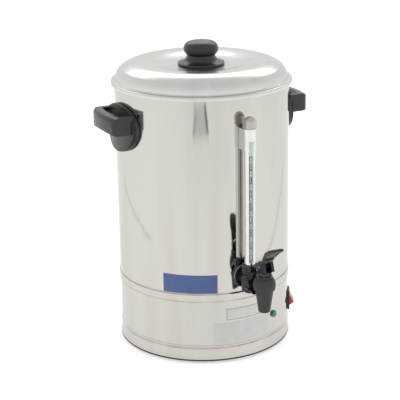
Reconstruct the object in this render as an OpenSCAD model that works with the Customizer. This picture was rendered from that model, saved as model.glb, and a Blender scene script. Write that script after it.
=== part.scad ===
// Percolating coffee urn: a steel tank on a heated base, with a sight gauge, a lever tap and two side handles.
// Millimetres. The origin is on the table under the middle of the urn, +Z is up and the tap faces -Y.
// Azimuths are in degrees from the tap, positive towards +X.

/* [Tank] */
// Outer radius of the tank wall
tank_r = 134; // [120:1:150]
// Thickness of the steel sheet
sheet_t = 0.8; // [0.6:0.1:1]
// Height of the tank wall above the seam band
tank_h = 302; // [280:1:340]
// Height of the seam band that joins tank, pan and skirt
seam_h = 13; // [11:0.5:16]
// How far the seam band stands out from the tank wall
seam_out = 1.2; // [1:0.1:1.6]
// Radius of the rolled bead round the tank's mouth
rim_bead_r = 2; // [1.6:0.1:2.2]
// Radius of the heated well in the middle of the pan
well_r = 32; // [29:1:36]
// Depth of the heated well
well_depth = 10; // [8:0.5:14]

/* [Base] */
// Height of the rubber foot ring under the cover
foot_h = 4; // [3:0.5:8]
// Width of the foot ring
foot_w = 24; // [20:0.5:30]
// Distance from the skirt's wall in to the middle of the foot ring
foot_inset = 26; // [22:1:32]
// Thickness of the bottom cover
cover_t = 2.5; // [2:0.1:3.5]
// Height of the skirt up to the seam band
skirt_h = 94.5; // [90:0.5:110]
// How far the skirt's wall stands back from the tank's wall
skirt_inset = 0.4; // [0.2:0.1:0.6]
// How far the skirt flares out at its lower edge
skirt_flare = 1.7; // [0.8:0.1:2.5]
// Height of the rolled bead above the skirt's lower edge
bead_z = 18.1; // [14:0.5:22]
// Height of the rolled bead itself
bead_h = 6; // [4:0.5:8]
// How far the rolled bead stands out
bead_out = 1.1; // [0.6:0.1:1.6]

/* [Heater] */
// Radius of the aluminium heat plate under the pan
plate_r = 88; // [85:1:95]
// Thickness of the heat plate
plate_t = 4; // [3:0.5:5]
// Radius of the ring of the tubular element
element_ring_r = 56; // [53:0.5:58]
// Diameter of the tubular element
element_d = 8.5; // [7:0.5:9]
// Distance of the thermostats from the middle
thermostat_ring_r = 76; // [74:0.5:79]

/* [Controls] */
// Azimuth of the rocker switch
switch_az = 60; // [50:1:75]
// Height of the rocker switch above the skirt's lower edge
switch_h = 48; // [40:1:64]
// Height of the switch bezel
switch_bezel_h = 31; // [29:0.5:33]
// Width of the switch bezel
switch_bezel_w = 25; // [24:0.5:27]
// Thickness of the switch bezel
switch_bezel_t = 3.2; // [2.5:0.1:3.6]
// Angle that the rocker turns between off and on
rocker_throw = 26; // [20:1:28]
// Azimuth of the pilot lamp
lamp_az = 26; // [20:1:34]
// Height of the pilot lamp above the skirt's lower edge
lamp_h = 51.8; // [40:0.5:66]
// Diameter of the lamp's lens
lamp_d = 11; // [9:0.5:13]
// Height of the appliance inlet above the skirt's lower edge
inlet_h = 44; // [38:1:56]

/* [Handles] */
// Distance from the tank's rim down to the middle of the handles
handle_drop = 60; // [52:1:110]
// Width of the handle's oval base, round the tank
handle_base_w = 95; // [86:1:104]
// Height of the handle's oval base
handle_base_h = 71.5; // [66:0.5:78]
// Thickness of the gasket behind a handle
gasket_t = 1.2; // [0.8:0.1:2]
// Thickness of the saddle ring that follows the tank wall
saddle_t = 6.4; // [5:0.1:8]
// Thickness of the face plate, beyond the groove at the saddle ring
face_t = 2; // [1.5:0.1:3]
// Width of the grip, round the tank
grip_w = 84; // [76:1:88]
// Height of the grip
grip_h = 27.5; // [25:0.5:30]
// Height of the grip's middle above the middle of its base
grip_rise = 11.5; // [8:0.5:14]
// How far the grip stands out from the face plate
grip_reach = 25; // [22:0.5:32]
// Vertical distance between the two screws of a handle
handle_pitch = 12; // [11.5:0.5:13]

/* [Lid] */
// Play between the tank's bead and the lid's rim
lid_play = 0.5; // [0.4:0.1:1]
// How far the lid's rim hangs down over the tank's bead
lid_overhang = 4.3; // [3:0.1:6]
// Distance from the lid's edge in to the foot of the crown
crown_inset = 7.5; // [7:0.1:10]
// Height of the crown above its foot
crown_h = 23.7; // [22:0.1:30]
// Radius of the crown's shoulder at the rim
shoulder_r = 19; // [16:0.5:20]
// Distance from the foot of the crown in to the ridge round the dished middle
ridge_inset = 33.9; // [31:0.1:39]
// Depth of the dished middle below the ridge
dish_depth = 6.5; // [4:0.5:9]
// Radius of the flat seat under the knob
knob_seat_r = 40; // [38:0.5:44]
// Diameter of the steam vent
vent_d = 3; // [2:0.5:4]
// Radius of the knob's flange
knob_flange_r = 35.6; // [30:0.2:37]
// Height of the knob's flange at its edge
knob_flange_h = 3.8; // [3:0.1:5]
// Radius of the knob at its widest
knob_r = 26.6; // [24:0.2:30]
// Height of the whole knob
knob_h = 35.2; // [33:0.2:40]

/* [Gauge] */
// Distance from the tank wall to the gauge glass
gauge_out = 17.5; // [17:0.5:20]
// Distance from the tank's rim down to the top of the gauge bracket
gauge_drop = 46.4; // [40:0.2:70]
// Height of the gauge bracket
bracket_h = 31; // [26:0.5:36]
// Outer diameter of the guard tube
guard_d = 16.5; // [16:0.1:17]
// Wall of the guard tube
guard_t = 0.9; // [0.7:0.1:1]
// Width of the window in the guard
window_w = 7.4; // [5:0.1:8]
// How far the guard is turned to the left
window_turn = 10; // [0:1:15]
// Outer diameter of the glass tube
glass_d = 10; // [9:0.1:10.2]
// Wall of the glass tube
glass_t = 1.4; // [1:0.1:1.8]

/* [Tap] */
// Height of the tap's inlet above the seam band
tap_rise = 25; // [24:0.5:34]
// Distance from the tank wall to the tap's upright axis
tap_reach = 61; // [60:0.5:66]
// Radius of the spout at its mouth
spout_r = 8.8; // [8.2:0.1:9.6]
// Radius of the tap's body at its widest
tap_r = 16.75; // [16:0.05:17.5]
// Distance from the inlet's axis down to the spout's mouth
spout_drop = 36.5; // [34:0.5:42]
// Bore of the spout
spout_bore_d = 12.6; // [11:0.1:13]
// Bore of the water way from the tank
way_d = 11; // [9:0.5:12]
// Radius of the coupling nut over its lugs
coupling_r = 17.8; // [17:0.1:19]
// Height of the lever's pin above the bonnet
pin_rise = 7; // [6.5:0.1:7.5]
// How far the valve opens for each radian of lever
cam_rate = 8.6; // [7:0.1:8.8]
// Angle that the lever pulls forward
lever_throw = 30; // [20:1:32]
// Width of the lever
lever_w = 23; // [20:0.5:25]

/* [Percolator] */
// Outer diameter of the pump tube
pump_d = 12; // [11:0.5:14]
// Wall of the pump tube
pump_t = 1; // [0.8:0.1:1.4]
// Radius of the pump's foot
pump_foot_r = 27; // [23:0.5:28]
// Distance from the tank's rim down to the top of the pump tube
pump_drop = 4; // [0:1:12]
// Radius of the coffee basket
basket_r = 85; // [70:1:100]
// Height of the coffee basket
basket_h = 92; // [70:1:120]
// Distance from the tank's rim down to the basket's rim
basket_drop = 24; // [18:1:40]
// Diameter of the strainer holes
strainer_d = 3; // [2:0.1:3.4]

/* [Fits] */
// Gap between pieces that are seated on each other
seat_gap = 0.1; // [0.05:0.05:0.2]
// Gap round a piece that slides or lifts off
slide_gap = 0.4; // [0.3:0.05:0.6]
// Radial clearance of a pin that turns in its hole
run_gap = 0.05; // [0.03:0.01:0.08]

/* [Hidden] */
$fn = 96;

steel = [0.83, 0.81, 0.78];
chrome_white = [0.93, 0.94, 0.95];
dull_steel = [0.62, 0.62, 0.62];
black = [0.09, 0.09, 0.09];
rubber_black = [0.14, 0.14, 0.14];
silicone = [0.8, 0.78, 0.72];
brass = [0.78, 0.62, 0.3];
aluminium = [0.74, 0.75, 0.76];

// Levels, from the table up
skirt_z = foot_h + cover_t;
seam_z = skirt_z + skirt_h;
tank_z = seam_z + seam_h;
rim_z = tank_z + tank_h;

// Radii of the rolled seam
skirt_r = tank_r - skirt_inset;
cover_r = skirt_r + skirt_flare;
seam_inner_r = tank_r + seam_out - sheet_t - 2 * seat_gap;
collar_h = 3.8;
bead_set = 0.2;

// The pan
pan_z = seam_z + collar_h + seat_gap;
pan_flange_h = seam_h - collar_h - 2.5;
pan_fillet = 3;
well_z = pan_z - well_depth;
pan_floor = pan_z + sheet_t;
well_floor = well_z + sheet_t;

// The heater stack, hanging under the pan
plate_z = pan_z - seat_gap - plate_t;
hub_z = well_z - seat_gap - plate_t;
hub_r = well_r + 7;
element_z = plate_z - seat_gap - element_d / 2;
clamp_t = 2;
clamp_w = 14;
clamp_z = min(hub_z, element_z - element_d / 2) - seat_gap - clamp_t;
stud_r = 3;
nut_t = 5;
element_gap = 30;
thermostat_cap = 3;
thermostat_body = 8;
boil_az = 115;
warm_az = -115;
cutout_az = 0;

// Feet, screws and brackets of the base
foot_ring_r = skirt_r - foot_inset;
screw_r = 2;
boss_r = 6;
boss_h = 6;
bracket_z = skirt_z + boss_h + seat_gap;
bracket_t = 1.5;
bracket_w = 20;
bracket_leg = 20;
foot_azimuths = [45, 135, 225, 315];
rib_h = 3;
block_x = 62;
block_z = skirt_z + rib_h + seat_gap;

wire_cover_r = 1.3;
earth_az = 158;
earth_len = 16;

// Controls
panel_gap = 0.05;
switch_z = skirt_z + switch_h;
switch_body_h = switch_bezel_h - 3;
switch_body_w = switch_bezel_w - 3;
switch_body_d = 24;
switch_wall = 1.3;
rocker_half = switch_body_h / 2 - switch_wall - slide_gap;
rocker_w = switch_body_w - 2 * switch_wall - 2 * slide_gap;
rocker_pivot = 8;
rocker_ridge = 18.5;
axle_r = 1.5;
lamp_z = skirt_z + lamp_h;
inlet_z = skirt_z + inlet_h;
inlet_w = 27;
inlet_body_h = 19.5;
inlet_d = 26;
inlet_cavity_w = 24;
inlet_cavity_h = 16.5;
inlet_cavity_d = 17;
inlet_flange_w = 50;
inlet_flange_h = 24;
inlet_flange_t = 2.6;
inlet_pitch = 40;
m3_r = 1.5;

// Handles
handle_z = rim_z - handle_drop;
handle_wall = tank_r + gasket_t;
groove_w = 0.9;
groove_depth = 1.6;
handle_face = handle_wall + saddle_t + groove_w + face_t;
handle_screw_r = 2.5;
handle_screw_z = 6;
handle_screw_zs = [handle_screw_z - handle_pitch / 2, handle_screw_z + handle_pitch / 2];
handle_seal_r = 5.6;
thread_len = 8;
screw_seat_x = tank_r - sheet_t - 0.3;
seal_t = 1.2;

// Lid
bead_reach = tank_r - sheet_t + bead_set + 2 * rim_bead_r;
lid_rim_r = bead_reach + lid_play + sheet_t;
crown_r = lid_rim_r - crown_inset;
ridge_r = crown_r - ridge_inset;
lid_edge_z = rim_z - lid_overhang;
rim_roll = 2.5;
ring_t = 0.5;
lid_top_z = rim_z + sheet_t + ring_t + 2 * seat_gap;
step_r = 2.5;
crown_z = lid_top_z + 0.3 + step_r;
ridge_z = crown_z + crown_h;
knob_seat_z = ridge_z - dish_depth;
crown_dx = crown_r - shoulder_r - ridge_r;
top_r = (crown_dx * crown_dx + crown_h * crown_h - shoulder_r * shoulder_r) / (2 * (crown_h - shoulder_r));
crown_split = atan2(top_r - crown_h, crown_dx);
dish_w = ridge_r - knob_seat_r;
dish_arc_r = (dish_w * dish_w + dish_depth * dish_depth) / (4 * dish_depth);
dish_turn = asin(dish_w / 2 / dish_arc_r);
knob_screw_r = 3;
knob_bore = 23;
vent_az = 35;
vent_ring_r = ridge_r - 7.3;
ring_r = tank_r - sheet_t - 1.6;
ring_h = 16;

// Tap
tap_z = tank_z + tap_rise;
tap_x = tank_r + tap_reach;
washer_t = 2;
shank_thread_r = 10.5;
shank_flange_r = 18;
shank_flange_t = 2.8;
shank_x = tank_r + washer_t + panel_gap;
shank_body_r = 13;
coupling_x = tank_r + 30.8;
coupling_t = 12.2;
shank_tip_x = coupling_x + 3.2;
gasket_x = shank_tip_x + seat_gap;
coupling_gasket_t = 1.5;
tail_x = gasket_x + coupling_gasket_t + seat_gap;
tail_flange_t = 2.5;
tail_flange_r = 11.8;
tail_r = 9.2;
shank_spigot_r = 12;

spout_z = tap_z - spout_drop;
cone_top_z = tap_z - 2.4;
cone_top_r = 13.4;
cup_step = 0.9;
shoulder_z = tap_z + 5;
shoulder_arc = 20;
body_top_z = tap_z + 17;
chamber_r = 10.4;
seat_z = tap_z - 11;
seat_lip = 1.5;
bonnet_top_z = body_top_z + 10;
bonnet_base_z = body_top_z + seat_gap;
bonnet_plug_h = 6.5;
spring_pocket_r = 7.4;
spring_pocket_z = bonnet_top_z - 4;
stem_r = 3.9;
cam_gap = 0.15;
pin_z = bonnet_top_z + pin_rise + cam_gap;
pin_r = 1.75;
cheek_w = 18;
cheek_r = 7.4;
cheek_gap = 9.2;
cup_r = 8.6;
cup_z = seat_z + seat_lip + seat_gap;
cup_top_z = tap_z + 4;
spring_r = 5.9;
wire_r = 0.55;
spring_turns = 6;
spring_z = cup_top_z + wire_r + seat_gap;
spring_top_z = spring_pocket_z - wire_r - seat_gap;
spring_steps = 18;
spring_sides = 6;

// Gauge
gauge_x = tank_r + gauge_out;
gland_z = tap_z + 8;
gland_h = 15;
gland_r = 12.25;
gland_spigot_r = 9.5;
gland_spigot_h = 7;
guard_cup = 2.4;
guard_z = gland_z + gland_h - guard_cup + seat_gap;
bracket_top_z = rim_z - gauge_drop;
bracket_plate_t = 1.2;
guard_top_z = bracket_top_z - bracket_plate_t - seat_gap;
glass_z = gland_z + 3.2;
glass_top_z = bracket_top_z + 1.5;
window_z = guard_z + 6.5;
window_top_z = bracket_top_z - 16.6;
scale_gap = 0.3;
scale_t = 0.8;
bracket_wall = 0.8;
bracket_stud_z = bracket_top_z - 16;
bracket_stud_r = 2.5;
gauge_seal_h = 3.2;
cap_washer_t = 1.2;
cap_z = bracket_top_z + cap_washer_t + 2 * seat_gap;
cap_hex_h = 12.5;
cap_hex_r = 9.9;
cap_dome_r = 8.5;
cap_dome_h = 5;
cap_spigot_h = 4.6;
cap_spigot_r = 6;

// Percolator
pump_z = well_floor + seat_gap;
pump_top_z = rim_z - pump_drop;
pump_r = pump_d / 2;
basket_top_z = rim_z - basket_drop;
basket_z = basket_top_z - basket_h;
collar_r = 10;
stop_h = 3;
sleeve_t = 0.8;
sleeve_r = pump_r + slide_gap + sleeve_t;
basket_bead_r = 1.5;
cover_seat_z = basket_top_z + seat_gap;

// ---------------------------------------------------------------- shared shapes

// Points of an arc about c, from angle a to angle b
function arc(c, r, a, b, n) = [for (i = [0:n]) c + r * [cos(a + (b - a) * i / n),
  sin(a + (b - a) * i / n)]];

// Points of a smooth step between two points that lie one above the other
function ease(p, q, n) = [for (i = [0:n]) [p[0] + (q[0] - p[0]) * (1 - cos(180 * i / n)) / 2,
  p[1] + (q[1] - p[1]) * i / n]];

function unit(v) = v / norm(v);
function left_of(v) = [-v[1], v[0]];
function step_in(p, i) = unit(p[max(i, 1)] - p[max(i, 1) - 1]);
function step_out(p, i) = unit(p[min(i, len(p) - 2) + 1] - p[min(i, len(p) - 2)]);
function mitre(p, i) = unit(left_of(step_in(p, i)) + left_of(step_out(p, i)));

// A strip of even thickness, laid on the left of a path
function strip(p, t) = concat(p, [
  for (i = [len(p) - 1:-1:0]) p[i] + t * mitre(p, i) / (mitre(p, i) * left_of(step_out(p, i)))
]);

// A sheet spun round the Z axis, on the left of its path
module spun(path, t) {
  rotate_extrude() polygon(strip(path, t));
}

// Turns the children's +X outward at an azimuth; their +Y then points to the right of it
module around(azimuth) {
  rotate([0, 0, azimuth - 90]) children();
}

// Lays the children's +Z along the outward axis
module outward(x, z) {
  translate([x, 0, z]) rotate([0, 90, 0]) children();
}

// Lays the children's +Z along the sideways axis
module sideways(x, z) {
  translate([x, 0, z]) rotate([-90, 0, 0]) children();
}

module tube(r, inner_r, h) {
  difference() {
    cylinder(r = r, h = h);
    translate([0, 0, -1]) cylinder(r = inner_r, h = h + 2);
  }
}

module slab(x0, x1, w, z0, z1) {
  translate([x0, -w / 2, z0]) cube([x1 - x0, w, z1 - z0]);
}

// A ring of gripping lugs round a nut
module lugs(count, ring_r, lug_r, h) {
  for (i = [0:count - 1]) rotate([0, 0, (i + 0.5) * 360 / count]) translate([ring_r, 0, 0])
    cylinder(r = lug_r, h = h);
}

module hex_nut(flats, bore_r, h) {
  difference() {
    cylinder(r = flats / sqrt(3), h = h, $fn = 6);
    translate([0, 0, -1]) cylinder(r = bore_r, h = h + 2);
  }
}

// A pan-headed screw, head at the origin, shank along +Z
module pan_screw(r, length, head_r, head_h) {
  cylinder(r = r, h = length);
  difference() {
    rotate_extrude() polygon(concat([[0, 0]], arc([0, 0], head_r, 0, 90, 6) * [[1, 0],
      [0, -head_h / head_r]]));
    for (turn = [0, 90]) rotate([0, 0, turn]) translate([-head_r * 0.5, -0.4, -head_h - 1])
      cube([head_r, 0.8, 1 + head_h * 0.6]);
  }
}

// ---------------------------------------------------------------- base

module bottom_cover() {
  rib_w = 1.6;
  vent_w = 4;
  color(black) {
    difference() {
      union() {
        translate([0, 0, foot_h]) cylinder(r = cover_r, h = cover_t);
        translate([0, 0, foot_h]) tube(skirt_r - sheet_t - slide_gap, skirt_r - sheet_t - slide_gap - 1.6,
          cover_t + 4.5);
        for (azimuth = foot_azimuths) around(azimuth) translate([foot_ring_r, 0, foot_h])
          cylinder(r = boss_r, h = cover_t + boss_h);
        for (azimuth = [0:30:330]) around(azimuth) slab(66, 126, rib_w, skirt_z - 1, skirt_z + rib_h);
        translate([0, 0, skirt_z - 1]) tube(66.8, 65.2, rib_h + 1);
      }
      for (azimuth = foot_azimuths) around(azimuth) translate([foot_ring_r, 0, foot_h - 1])
        cylinder(r = screw_r + slide_gap, h = cover_t + boss_h + 2);
      for (azimuth = [15:30:345], x = [70, 79, 88]) around(azimuth)
        slab(x, x + vent_w, 22, foot_h - 1, skirt_z + 1);
      translate([0, 0, foot_h - 1]) cylinder(r = 8, h = cover_t + 2);
    }
  }
}

module foot_ring() {
  edge = 1;
  head_r = 5;
  top = foot_h - seat_gap / 2;
  inner = foot_ring_r - foot_w / 2;
  outer = foot_ring_r + foot_w / 2;
  color(rubber_black) difference() {
    rotate_extrude() polygon(concat(
      [[inner, top]], arc([inner + 2 * edge, edge], edge, 180, 270, 5),
      arc([outer - 2 * edge, edge], edge, -90, 0, 5), [[outer, top]]
    ));
    for (azimuth = foot_azimuths) around(azimuth) translate([foot_ring_r, 0, -1]) {
      cylinder(r = head_r, h = foot_h);
      cylinder(r = screw_r + slide_gap, h = foot_h + 2);
    }
  }
}

module foot_screws() {
  head_h = 2;
  length = bracket_z + bracket_t + 3 - (foot_h - 1 + 0.05);
  color(dull_steel) for (azimuth = foot_azimuths) around(azimuth)
    translate([foot_ring_r, 0, foot_h - 1 - 0.05]) pan_screw(screw_r, length, 4, head_h);
}

module cover_brackets() {
  leg_r = skirt_r - sheet_t - seat_gap;
  color(dull_steel) for (azimuth = foot_azimuths) around(azimuth) difference() {
    union() {
      slab(foot_ring_r - 8, leg_r - 0.5, bracket_w, bracket_z, bracket_z + bracket_t);
      intersection() {
        slab(leg_r - 6, leg_r + 1, bracket_w, bracket_z, bracket_z + bracket_leg);
        translate([0, 0, bracket_z - 1]) tube(leg_r, leg_r - bracket_t, bracket_leg + 2);
      }
    }
    translate([foot_ring_r, 0, bracket_z - 1]) cylinder(r = screw_r + run_gap, h = bracket_t + 2);
  }
}

function skirt_path() =
  concat(
    [[cover_r, skirt_z], [cover_r, skirt_z + 1.5]],
    ease([cover_r - 0.05, skirt_z + 2], [skirt_r, skirt_z + bead_z - 1], 6),
    ease([skirt_r, skirt_z + bead_z], [skirt_r + bead_out, skirt_z + bead_z + bead_h / 2], 5),
    ease([skirt_r + bead_out, skirt_z + bead_z + bead_h / 2 + 0.1], [skirt_r, skirt_z + bead_z + bead_h],
      5),
    [[skirt_r, seam_z - 3]],
    ease([skirt_r + 0.01, seam_z - 2.6], [seam_inner_r, seam_z - 0.2], 4),
    [[seam_inner_r, seam_z + collar_h]]
  );

module base_skirt() {
  color(steel) difference() {
    spun(skirt_path(), sheet_t);
    around(switch_az) slab(skirt_r - 4, skirt_r + 4, switch_body_w + 2 * seat_gap,
      switch_z - switch_body_h / 2 - seat_gap, switch_z + switch_body_h / 2 + seat_gap);
    around(lamp_az) outward(skirt_r - 4, lamp_z) cylinder(r = lamp_d / 2 - 0.5, h = 8);
    around(180) slab(skirt_r - 5, skirt_r + 4, inlet_w + 2 * seat_gap,
      inlet_z - inlet_body_h / 2 - seat_gap, inlet_z + inlet_body_h / 2 + seat_gap);
    for (side = [-1, 1]) around(180) translate([0, side * inlet_pitch / 2, 0])
      outward(skirt_r - 8, inlet_z) cylinder(r = m3_r + seat_gap, h = 12);
  }
}

// ---------------------------------------------------------------- tank

function tank_path() =
  concat(
    [[tank_r + seam_out, seam_z]],
    [[tank_r + seam_out, tank_z - 2.5]],
    ease([tank_r + seam_out - 0.01, tank_z - 2.3], [tank_r, tank_z], 6),
    [[tank_r, rim_z - rim_bead_r]]
  );

module tank_shell() {
  color(steel) difference() {
    rotate_extrude() {
      polygon(strip(tank_path(), sheet_t));
      translate([bead_reach - rim_bead_r, rim_z - rim_bead_r]) circle(r = rim_bead_r);
    }
    around(0) outward(tank_r - 6, tap_z) cylinder(r = shank_thread_r + seat_gap, h = 12);
    around(0) outward(tank_r - 6, bracket_stud_z) cylinder(r = bracket_stud_r + seat_gap, h = 12);
    for (azimuth = [-90, 90], z = handle_screw_zs) around(azimuth) outward(tank_r - 6, handle_z + z)
      cylinder(r = handle_screw_r + seat_gap, h = 12);
  }
}

function pan_path() =
  concat(
    [[0, well_z]],
    arc([well_r - pan_fillet, well_z + pan_fillet], pan_fillet, -90, 0, 6),
    arc([well_r + pan_fillet, pan_z - pan_fillet], pan_fillet, 180, 90, 6),
    arc([seam_inner_r - pan_fillet, pan_z + pan_fillet], pan_fillet, -90, 0, 6),
    [[seam_inner_r, pan_z + pan_flange_h]]
  );

module tank_bottom() {
  color(steel) union() {
    spun(pan_path(), sheet_t);
    translate([0, 0, clamp_z - nut_t - 3]) cylinder(r = stud_r, h = well_z + 0.3 - (clamp_z - nut_t - 3));
  }
}

// ---------------------------------------------------------------- heater

module heat_plate() {
  inner_r = well_r + pan_fillet + 0.3;
  color(aluminium) rotate_extrude() polygon([
    [stud_r + slide_gap, hub_z], [hub_r, hub_z], [hub_r, plate_z], [plate_r, plate_z],
    [plate_r, plate_z + plate_t], [inner_r, plate_z + plate_t],
      [well_r + 0.3, plate_z + plate_t - pan_fillet],
    [well_r + 0.3, hub_z + plate_t], [stud_r + slide_gap, hub_z + plate_t]
  ]);
}

module heating_element() {
  leg_h = 26;
  color(dull_steel) union() {
    translate([0, 0, element_z]) rotate([0, 0, 90 + element_gap / 2])
      rotate_extrude(angle = 360 - element_gap) translate([element_ring_r, 0]) circle(d = element_d);
    for (side = [-1, 1]) rotate([0, 0, 90 + side * element_gap / 2])
      translate([element_ring_r, 0, element_z - leg_h]) {
      cylinder(d = element_d + 1, h = leg_h + element_d / 2 - 0.3);
      translate([0, 0, -5]) cylinder(d = 6, h = 6);
      translate([-0.4, -3, -15]) cube([0.8, 6, 11]);
    }
  }
}

module element_clamp() {
  reach = element_ring_r + element_d / 2;
  pad_z = element_z - element_d / 2 - seat_gap;
  color(dull_steel) difference() {
    union() {
      translate([-reach, -clamp_w / 2, clamp_z]) cube([2 * reach, clamp_w, clamp_t]);
      for (side = [-1, 1]) translate([side * element_ring_r - 4, -clamp_w / 2, clamp_z])
        cube([8, clamp_w, pad_z - clamp_z]);
    }
    translate([0, 0, clamp_z - 1]) cylinder(r = stud_r + run_gap, h = clamp_t + 2);
  }
}

module clamp_nut() {
  color(dull_steel) translate([0, 0, clamp_z - seat_gap - nut_t]) hex_nut(10, stud_r + run_gap, nut_t);
}

// A snap-disc thermostat, cap up, hanging at the origin
module snap_disc(cap_h, body_h) {
  translate([0, 0, -cap_h]) cylinder(r = 8, h = cap_h);
  translate([0, 0, -cap_h - body_h]) cylinder(r = 7.2, h = body_h + 0.1);
  for (side = [-1, 1]) translate([-3, side * 4 - 0.4, -cap_h - body_h - 9]) cube([6, 0.8, 9.5]);
}

module at_thermostat(azimuth) {
  around(azimuth) translate([thermostat_ring_r, 0, plate_z - seat_gap]) children();
}

module boil_thermostat() {
  color(black) at_thermostat(boil_az) snap_disc(thermostat_cap, thermostat_body);
}

module warm_thermostat() {
  color(black) at_thermostat(warm_az) snap_disc(thermostat_cap, thermostat_body);
}

module thermal_cutout() {
  color(silicone) at_thermostat(cutout_az) snap_disc(thermostat_cap, thermostat_body + 3);
}

module thermostat_clips() {
  ear = 13;
  color(dull_steel) for (azimuth = [boil_az, warm_az, cutout_az]) at_thermostat(azimuth) {
    difference() {
      union() {
        translate([-4, -ear - 3, -thermostat_cap - 1.1]) cube([8, 2 * ear + 6, 1]);
        translate([0, 0, -thermostat_cap - 1.1]) cylinder(r = 10, h = 1);
        for (side = [-1, 1]) translate([0, side * ear, -thermostat_cap - 0.5])
          cylinder(r = m3_r, h = thermostat_cap + 0.5);
        for (side = [-1, 1]) translate([0, side * ear, -thermostat_cap - 3]) cylinder(r = 2.7, h = 2);
      }
      translate([0, 0, -thermostat_cap - 3]) cylinder(r = 7.4, h = 4);
    }
  }
}

module terminal_block() {
  ways = 4;
  pitch = 9;
  color(silicone) around(180) translate([block_x, -ways * pitch / 2, block_z]) difference() {
    union() {
      cube([20, ways * pitch, 12]);
      for (i = [0:ways - 1]) translate([5, i * pitch + 1, 0]) cube([10, pitch - 2, 17]);
    }
    for (i = [0:ways - 1]) translate([-1, (i + 0.5) * pitch, 7]) rotate([0, 90, 0]) cylinder(r = 2, h = 22);
    for (i = [0:ways - 1]) translate([10, (i + 0.5) * pitch, 9]) cylinder(r = 1.8, h = 10);
  }
}

module earth_stud() {
  stud_x = skirt_r - sheet_t - seat_gap;
  color(brass) around(earth_az) translate([0, 0, inlet_z]) difference() {
    union() {
      outward(stud_x - earth_len, 0) cylinder(r = screw_r, h = earth_len);
      outward(stud_x - 3, 0) cylinder(r = 4, h = 2.6);
      outward(stud_x - 9, 0) cylinder(r = 4.2, h = 3, $fn = 6);
    }
    translate([0, 0, -6]) tube(stud_x + 3, stud_x, 12);
  }
}

// ---------------------------------------------------------------- controls

module switch_housing() {
  x0 = skirt_r + panel_gap;
  back = x0 - switch_body_d;
  color(black) around(switch_az) translate([0, 0, switch_z]) difference() {
    union() {
      slab(x0, x0 + switch_bezel_t, switch_bezel_w, -switch_bezel_h / 2, switch_bezel_h / 2);
      slab(back, x0 + 0.5, switch_body_w, -switch_body_h / 2, switch_body_h / 2);
    }
    slab(back + 3, x0 + switch_bezel_t + 1, switch_body_w - 2 * switch_wall,
      -switch_body_h / 2 + switch_wall, switch_body_h / 2 - switch_wall);
    sideways(x0 - rocker_pivot, 0) translate([0, 0, -switch_bezel_w])
      cylinder(r = axle_r + run_gap, h = 2 * switch_bezel_w);
  }
}

function rocker_outline() = [
  [rocker_ridge, 0], [9.3, rocker_half - 1.6], [5.2, rocker_half - 0.6], [0, rocker_half - 0.2], [-4, 5],
  [-4, -5], [0, -rocker_half + 0.2], [5.2, -rocker_half + 0.6], [9.3, -rocker_half + 1.6]
];

module switch_rocker() {
  axle_w = switch_body_w - 0.4;
  color([0.82, 0.07, 0.12]) around(switch_az) translate([skirt_r + panel_gap - rocker_pivot, 0, switch_z])
    rotate([0, rocker_throw / 2, 0]) {
    rotate([90, 0, 0]) translate([0, 0, -rocker_w / 2]) linear_extrude(rocker_w) polygon(rocker_outline());
    sideways(0, 0) translate([0, 0, -axle_w / 2]) cylinder(r = axle_r, h = axle_w);
  }
}

module switch_terminals() {
  back = skirt_r + panel_gap - switch_body_d;
  color(brass) around(switch_az) for (z = [-8, 0, 8], y = [-5, 5])
    translate([back - 9, y - 0.4, switch_z + z - 3.15]) cube([8.95, 0.8, 6.3]);
}

module pilot_lens() {
  dome = 3.4;
  color([0.1, 0.55, 0.4]) around(lamp_az) outward(skirt_r + panel_gap, lamp_z) rotate_extrude() polygon(
    concat([[0, 0], [lamp_d / 2, 0], [lamp_d / 2, 1.2]], arc([lamp_d / 2 - 1.2, 2.2], 1.2, 0, 90, 6),
      [[0, dome + 0.3]])
  );
}

module pilot_body() {
  color(black) around(lamp_az) union() {
    outward(skirt_r - 26, lamp_z) cylinder(r = lamp_d / 2 - 0.7, h = 26);
    outward(skirt_r - sheet_t - 3, lamp_z) cylinder(r = lamp_d / 2 + 2, h = 2.6);
    for (side = [-1, 1]) slab(skirt_r - 34, skirt_r - 25.5, 0.8, lamp_z + side * 2.5 - 1.4,
      lamp_z + side * 2.5 + 1.4);
  }
}

module power_inlet() {
  x0 = skirt_r + inlet_flange_t;
  color(black) around(180) difference() {
    union() {
      slab(skirt_r - 5, x0, inlet_flange_w, inlet_z - inlet_flange_h / 2, inlet_z + inlet_flange_h / 2);
      slab(x0 - inlet_d, x0 - 0.5, inlet_w, inlet_z - inlet_body_h / 2, inlet_z + inlet_body_h / 2);
    }
    difference() {
      translate([0, 0, inlet_z - inlet_flange_h]) cylinder(r = skirt_r + panel_gap, h = 2 * inlet_flange_h);
      slab(skirt_r - 40, skirt_r + 9, inlet_w, inlet_z - inlet_body_h / 2, inlet_z + inlet_body_h / 2);
    }
    slab(x0 - inlet_cavity_d, x0 + 1, inlet_cavity_w, inlet_z - inlet_cavity_h / 2,
      inlet_z + inlet_cavity_h / 2);
    for (side = [-1, 1]) translate([0, side * inlet_pitch / 2, 0]) outward(skirt_r - 12, inlet_z)
      cylinder(r = m3_r + seat_gap, h = 30);
    for (y = [-7, 0, 7]) translate([0, y, 0]) slab(x0 - inlet_d - 1, x0 - inlet_cavity_d + 1, 2,
      inlet_z + (y == 0 ? 2 : 0) - 2, inlet_z + (y == 0 ? 2 : 0) + 2);
  }
}

module inlet_pins() {
  x0 = skirt_r + inlet_flange_t;
  color(brass) around(180) for (y = [-7, 0, 7]) translate([0, y, y == 0 ? 2 : 0])
    slab(x0 - inlet_d - 9, x0 - 3, 1.9, inlet_z - 1.95, inlet_z + 1.95);
}

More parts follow.
